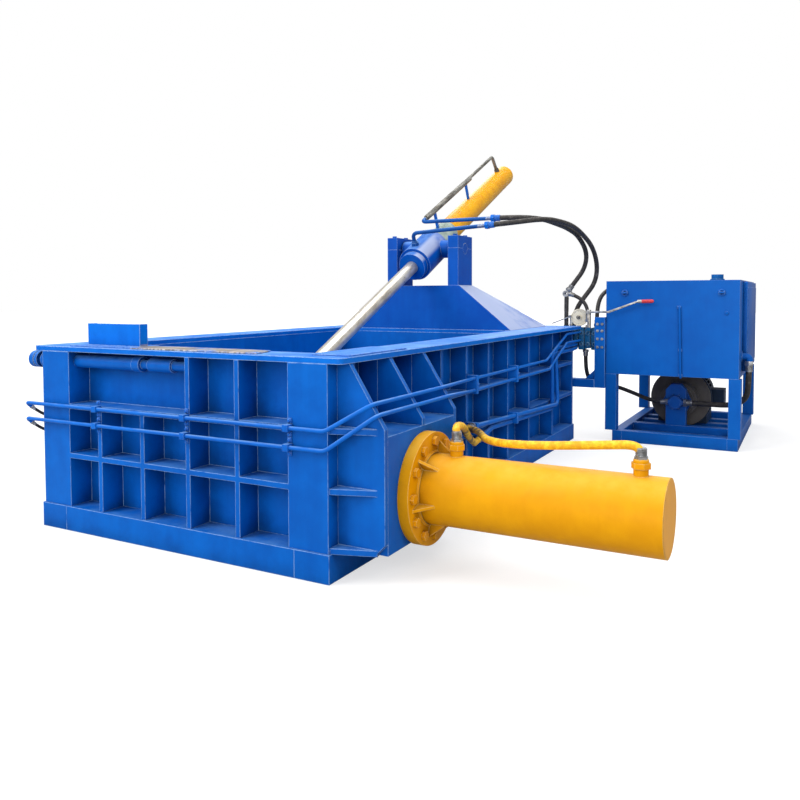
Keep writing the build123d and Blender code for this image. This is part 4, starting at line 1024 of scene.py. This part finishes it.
def build_levers():
    """The cranked lever with its red grip, and the small stick lever."""
    x, y, z = LEVER_PIVOT
    arm = [(0.01, -0.009), (0.195, -0.008), (0.474, 0.098), (0.468, 0.114), (0.192, 0.009), (0.01, 0.009)]
    hub = [(0, 0), (0, 0.019), (0.002, 0.021), (0.026, 0.021), (0.028, 0.019), (0.028, 0)]
    grip = [(0, 0), (0, 0.015), (0.006, 0.017)]
    for i in range(7):
        ridge = i * 0.016
        grip += [(0.014 + ridge, 0.0175), (0.020 + ridge, 0.016), (0.026 + ridge, 0.0175)]
    grip += [(0.136, 0.016), (0.146, 0.009), (0.148, 0)]
    lever = Shape()
    lever.prism([(x + along, y, z + up) for along, up in arm], (0, 0.016, 0))
    lever.turned((x, 2.12, z), (0, 1, 0), hub)
    lever.turned((x, 2.114, z), (0, 1, 0), [(0, 0), (0, 0.008), (0.04, 0.008), (0.04, 0)], 16)
    lever.turned((1.66, 2.134, 1.349), (1, 0, 0.02), grip, 20)
    lever.done("lid_valve_lever", lever_finish(), slot="zinc_steel")
    rod = [(0, 0), (0, 0.005), (0.17, 0.005), (0.185, 0.003), (0.185, 0)]
    stick = Shape()
    stick.turned((1.010, 2.160, 1.2), (0, 1, 0), [(0, 0), (0, 0.015), (0.014, 0.015), (0.014, 0)], 20)
    stick.turned((1.010, 2.155, 1.2), (0, 1, 0), [(0, 0), (0, 0.006), (0.054, 0.006), (0.054, 0)], 12)
    stick.turned((1.002, 2.167, 1.197), (-0.93, 0, -0.36), rod, 12)
    stick.done("ram_valve_lever", zinc_fittings, slot="zinc_steel")


def build_gauge():
    """The pressure gauge on its stem, with a raised rim round a cream dial and a dark hub."""
    x, y, z = GAUGE_AT
    facing_out = Vector((0.3, -1, 0)).normalized()
    rim = [(0, 0), (0, 0.078), (0.004, 0.084), (0.030, 0.084), (0.034, 0.080), (0.034, 0.076)]
    dial = [(0.027, 0.075), (0.027, 0.020), (0.032, 0.020), (0.038, 0.016), (0.038, 0)]
    gauge = Shape()
    gauge.turned((x, y, z), facing_out, rim + dial, 48)
    gauge.turned((x, y, 1.075), (0, 0, 1), [(0, 0), (0, 0.012), (0.06, 0.012), (0.06, 0)], 16)
    gauge.nut((x, y, 1.095), (0, 0, 1), 0.018, 0.014)
    gauge.done("valve_gauge", gauge_finish())


def build_stand_fittings():
    """The post's bolts and gusset."""
    bolts = Shape()
    for z in (0.907, 0.986, 1.065, 1.130):
        for x in (1.28, 1.324):
            bolts.turned((x, 2.165, z), (0, -1, 0), [(0, 0), (0, 0.014), (0.002, 0.014), (0.002, 0)], 16)
            bolts.nut((x, 2.163, z), (0, -1, 0), 0.012, 0.011)
    bolts.done("valve_stand_bolts", zinc_fittings, slot="zinc_steel")
    gusset = Shape()
    gusset.prism([(1.253, 2.178, 0.592), (1.253, 2.178, 0.688), (1.157, 2.178, 0.592)], (0, 0.012, 0))
    gusset.done("valve_stand_gusset", blue_tank, slot="blue_paint")


def build_tank_fittings():
    """Lifting lugs, plug, level tube, side panel, suction elbow and return boss of the oil tank."""
    front, side = 2.196, 2.534
    tank = Shape()
    lug = [
        (0, 0.017), (0, 0.028), (0.003, 0.030), (0.012, 0.030), (0.014, 0.028), (0.014, 0.017), (0, 0.017)
    ]
    for x in (1.53, 2.384):
        tank.plate((x - 0.024, 2.159, 1.421), (x + 0.024, front + 0.001, 1.439), 0.004)
        tank.turned((x, front, 1.430), (0, -1, 0), lug)
    plug = [(0, 0), (0, 0.017), (0.007, 0.017), (0.010, 0.013), (0.010, 0)]
    tank.turned((2.428, front, 1.246), (0, -1, 0), plug)
    level_tube = [(2.018, 2.188, 1.303), (2.026, 2.184, 1.292), (2.041, 2.183, 0.655), (2.041, 2.195, 0.645)]
    tank.tube(level_tube, 0.011, 0.02)
    for x, z in ((2.020, 1.296), (2.036, 0.90), (2.041, 0.668)):
        tank.plate((x - 0.018, 2.184, z - 0.012), (x + 0.018, front + 0.001, z + 0.012), 0.003)
    tank.plate((side, 2.505, 0.70), (side + 0.04, 3.645, 1.53), 0.006)
    tank.plate((side + 0.039, 2.56, 0.75), (side + 0.046, 3.59, 1.48), 0.003)
    tank.tube([(side, 2.44, 0.842), (2.6, 2.44, 0.842), (2.6, 2.44, 0.76)], 0.032, 0.034)
    tank.turned((side, 2.44, 0.842), (1, 0, 0), [(0, 0.03), (0, 0.05), (0.008, 0.05), (0.008, 0.03)])
    boss = [(0, 0), (0, 0.034), (0.012, 0.034), (0.016, 0.026), (0.016, 0)]
    tank.turned((1.356, 2.742, 1.47), (-1, 0, 0), boss)
    tank.done("tank_fittings", blue_tank, slot="blue_paint")


def build_pump_nose():
    """The pump's round nose with its two ports and the bolts round it."""
    face = [(0, 0), (0, 0.050), (0.010, 0.062), (0.066, 0.064), (0.066, 0)]
    port = [(0, 0.026), (0.034, 0.026), (0.04, 0.022), (0.04, 0)]
    nose = Shape()
    nose.turned((PUMP_X, 2.681, PUMP_Z), (0, 1, 0), face, 40)
    for way in (-1, 1):
        nose.turned((PUMP_X + way * 0.05, 2.718, PUMP_Z), (way, 0, 0), port)
    for i in range(8):
        turn = math.radians(22.5 + 45 * i)
        across, up = 0.076 * math.cos(turn), 0.076 * math.sin(turn)
        nose.nut((PUMP_X + across, 2.745, PUMP_Z + up), (0, -1, 0), 0.009, 0.008)
    nose.done("pump_nose", blue_tank, slot="blue_paint")


def window(x):
    """The outline of a bell window at x: two half circles, set apart along the pump's axis."""
    middle, apart, radius, corners = 2.985, 0.030, 0.036, 32
    outline = []
    for i in range(corners):
        turn = 2 * math.pi * i / corners
        end = apart if math.cos(turn) > 0 else -apart
        y, z = end + radius * math.cos(turn), radius * math.sin(turn)
        outline.append((x, middle + y, PUMP_Z + z))
    return outline


def build_bell():
    """The bell housing between pump and motor, with an oval window cut in either side."""
    wall = [(0, 0.035), (0, 0.15), (0.025, 0.15), (0.03, 0.175), (0.203, 0.175), (0.205, 0.29)]
    wall += [(0.23, 0.29), (0.23, 0.13), (0.03, 0.13), (0.025, 0.035), (0, 0.035)]
    bell = Shape().turned((PUMP_X, 2.87, PUMP_Z), (0, 1, 0), wall, 64)
    bell = bell.done("bell_casting", bell_grey, replaces=["bell_housing"], slot="cast_grey")
    windows = Shape()
    for way in (1, -1):
        windows.prism(window(PUMP_X + way * 0.08), (way * 0.13, 0, 0), 0)
    cutter = windows.done("window_cutter", bell_grey)
    cut = bell.modifiers.new("windows", "BOOLEAN")
    cut.object = cutter
    cut.solver = "EXACT"
    opened = solid_of(bell)
    bell.modifiers.clear()
    bell.data = opened
    bpy.data.objects.remove(cutter)


def build_coupling():
    """The coupling on the pump's shaft: two hubs with a gap between them."""
    hubs = [(0, 0), (0, 0.03), (0.095, 0.03), (0.095, 0.085), (0.098, 0.088), (0.155, 0.088)]
    hubs += [(0.157, 0.080), (0.163, 0.080), (0.165, 0.088), (0.215, 0.088), (0.220, 0.084)]
    hubs += [(0.22, 0.03), (0.24, 0.03), (0.24, 0)]
    coupling = Shape().turned((PUMP_X, 2.845, PUMP_Z), (0, 1, 0), hubs, 48)
    coupling.done("pump_coupling", zinc_fittings, slot="zinc_steel")


lay_pipes()
lay_lid_pipes()
lay_unions()
build_valve()
build_levers()
build_gauge()
build_stand_fittings()
build_tank_fittings()
build_pump_nose()
build_bell()
build_coupling()


# What each node of the frame is finished in
FINISHES = [
    (blue_walls, "base_side_beams base_cross_beams front_wall right_wall left_wall ram_port_frame "
                 "outlet_frame rear_wall thrust_wall chamber_liners side_ram_housing lid_hinge_brackets "
                 "door_rails bale_door clamp_cylinder clamp_rod lid valve_stand"),
    (blue_rim, "rim_flange"),
    (tower_paint(), "tower trunnion_caps lid_cylinder_head"),
    (blue_tank, "oil_tank tank_legs pump_skid pump"),
    (yellow_barrel, "side_cylinder_barrel main_cylinder_barrel door_cylinder"),
    (rod_chrome(), "lid_rod side_rod main_ram_rod door_rod"),
    (worn_plate("hinge_steel", STEEL, RUST), "lid_hinge_pin rod_eye_pin"),
    (worn_plate("ram_plate", (132, 132, 134), (104, 66, 42), 0.7), "floor_plate side_pusher main_pusher"),
    (rim_finish(), "rim_fittings"),
    (bolt_finish(), "bolts"),
    (motor_dark, "motor"),
    (cap_blue, "filler_cap"),
    (barrel_with_primer(), "lid_barrel"),
]
for material, names in FINISHES:
    for name in names.split():
        mesh = nodes[name].data
        mesh.materials.clear()
        mesh.materials.append(material)


def soft_light(name, place, target, size, power):
    """A large soft lamp at place, aimed at target."""
    lamp = bpy.data.lights.new(name, "AREA")
    lamp.shape = "SQUARE"
    lamp.size = size
    lamp.energy = power
    holder = bpy.data.objects.new(name, lamp)
    aim = Vector(target) - Vector(place)
    holder.matrix_world = Matrix.Translation(place) @ aim.to_track_quat("-Z", "Y").to_matrix().to_4x4()
    scene.collection.objects.link(holder)


soft_light("sky_front_left", (-5.0, -8.0, 7.5), (0, -0.5, 0.6), 6.0, 900)
soft_light("sky_front_low", (2.6, -9.5, 2.4), (0, -1.0, 0.6), 5.0, 250)
soft_light("sky_right", (9.0, -3.0, 6.0), (0.8, 0.3, 0.6), 6.0, 330)
soft_light("sky_over", (0.5, 1.0, 9.0), (0.3, 0.6, 0.6), 8.0, 600)
soft_light("sky_rear", (-2.0, 10.0, 6.0), (0.3, 0.8, 0.8), 6.0, 300)

world = bpy.data.worlds.new("pale_room")
world.use_nodes = True
scene.world = world
background = world.node_tree.nodes["Background"]
sky = Shade(world.node_tree, background.outputs[0])
seen = sky.make("ShaderNodeLightPath", {}, {}, out="Is Camera Ray")
background.inputs["Color"].default_value = (1.0, 1.0, 1.0, 1.0)
strength = 0.42 + 0.58 * seen
world.node_tree.links.new(strength.socket, background.inputs["Strength"])


def pale_floor():
    """A plain floor that keeps the object's shadow; it glows to the camera alone, more far away."""
    material, place = start("pale_floor")
    trowel = noise(place, 0.8, 4.0)
    patchy = ramp(trowel, 0.3, 0.7)
    colour = between(patchy, paint_colour((170, 170, 169)), paint_colour((182, 182, 182)))
    close(material, place, colour, 0.85)
    tree = place.tree
    glow = tree.nodes.new("ShaderNodeEmission")
    mixer = tree.nodes.new("ShaderNodeAddShader")
    camera_ray = place.make("ShaderNodeLightPath", {}, {}, out="Is Camera Ray")
    away = place.make("ShaderNodeVectorMath", {"operation": "LENGTH"}, {0: place}, out=1)
    brightness = 0.62 + 0.5 * ramp(away, 4.0, 13.0)
    tree.links.new((camera_ray * brightness).socket, glow.inputs["Strength"])
    tree.links.new(tree.nodes["Principled BSDF"].outputs[0], mixer.inputs[0])
    tree.links.new(glow.outputs[0], mixer.inputs[1])
    tree.links.new(mixer.outputs[0], tree.nodes["Material Output"].inputs["Surface"])
    sheet = bpy.data.meshes.new("floor")
    far = 60
    corners = [(-far, -far, 0), (far, -far, 0), (far, far, 0), (-far, far, 0)]
    sheet.from_pydata(corners, [], [(0, 1, 2, 3)])
    floor = bpy.data.objects.new("floor", sheet)
    floor.location.z = -0.001
    sheet.materials.append(material)
    scene.collection.objects.link(floor)
    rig.stage(floor)


pale_floor()
scene.view_settings.view_transform = "Standard"


def plain(box):
    """The corners of a box as plain lists."""
    return [list(corner) for corner in box]


with open("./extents.json", "w") as sizes:
    json.dump({"cad": plain(cad_box), "visual": plain(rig.bounds())}, sizes)
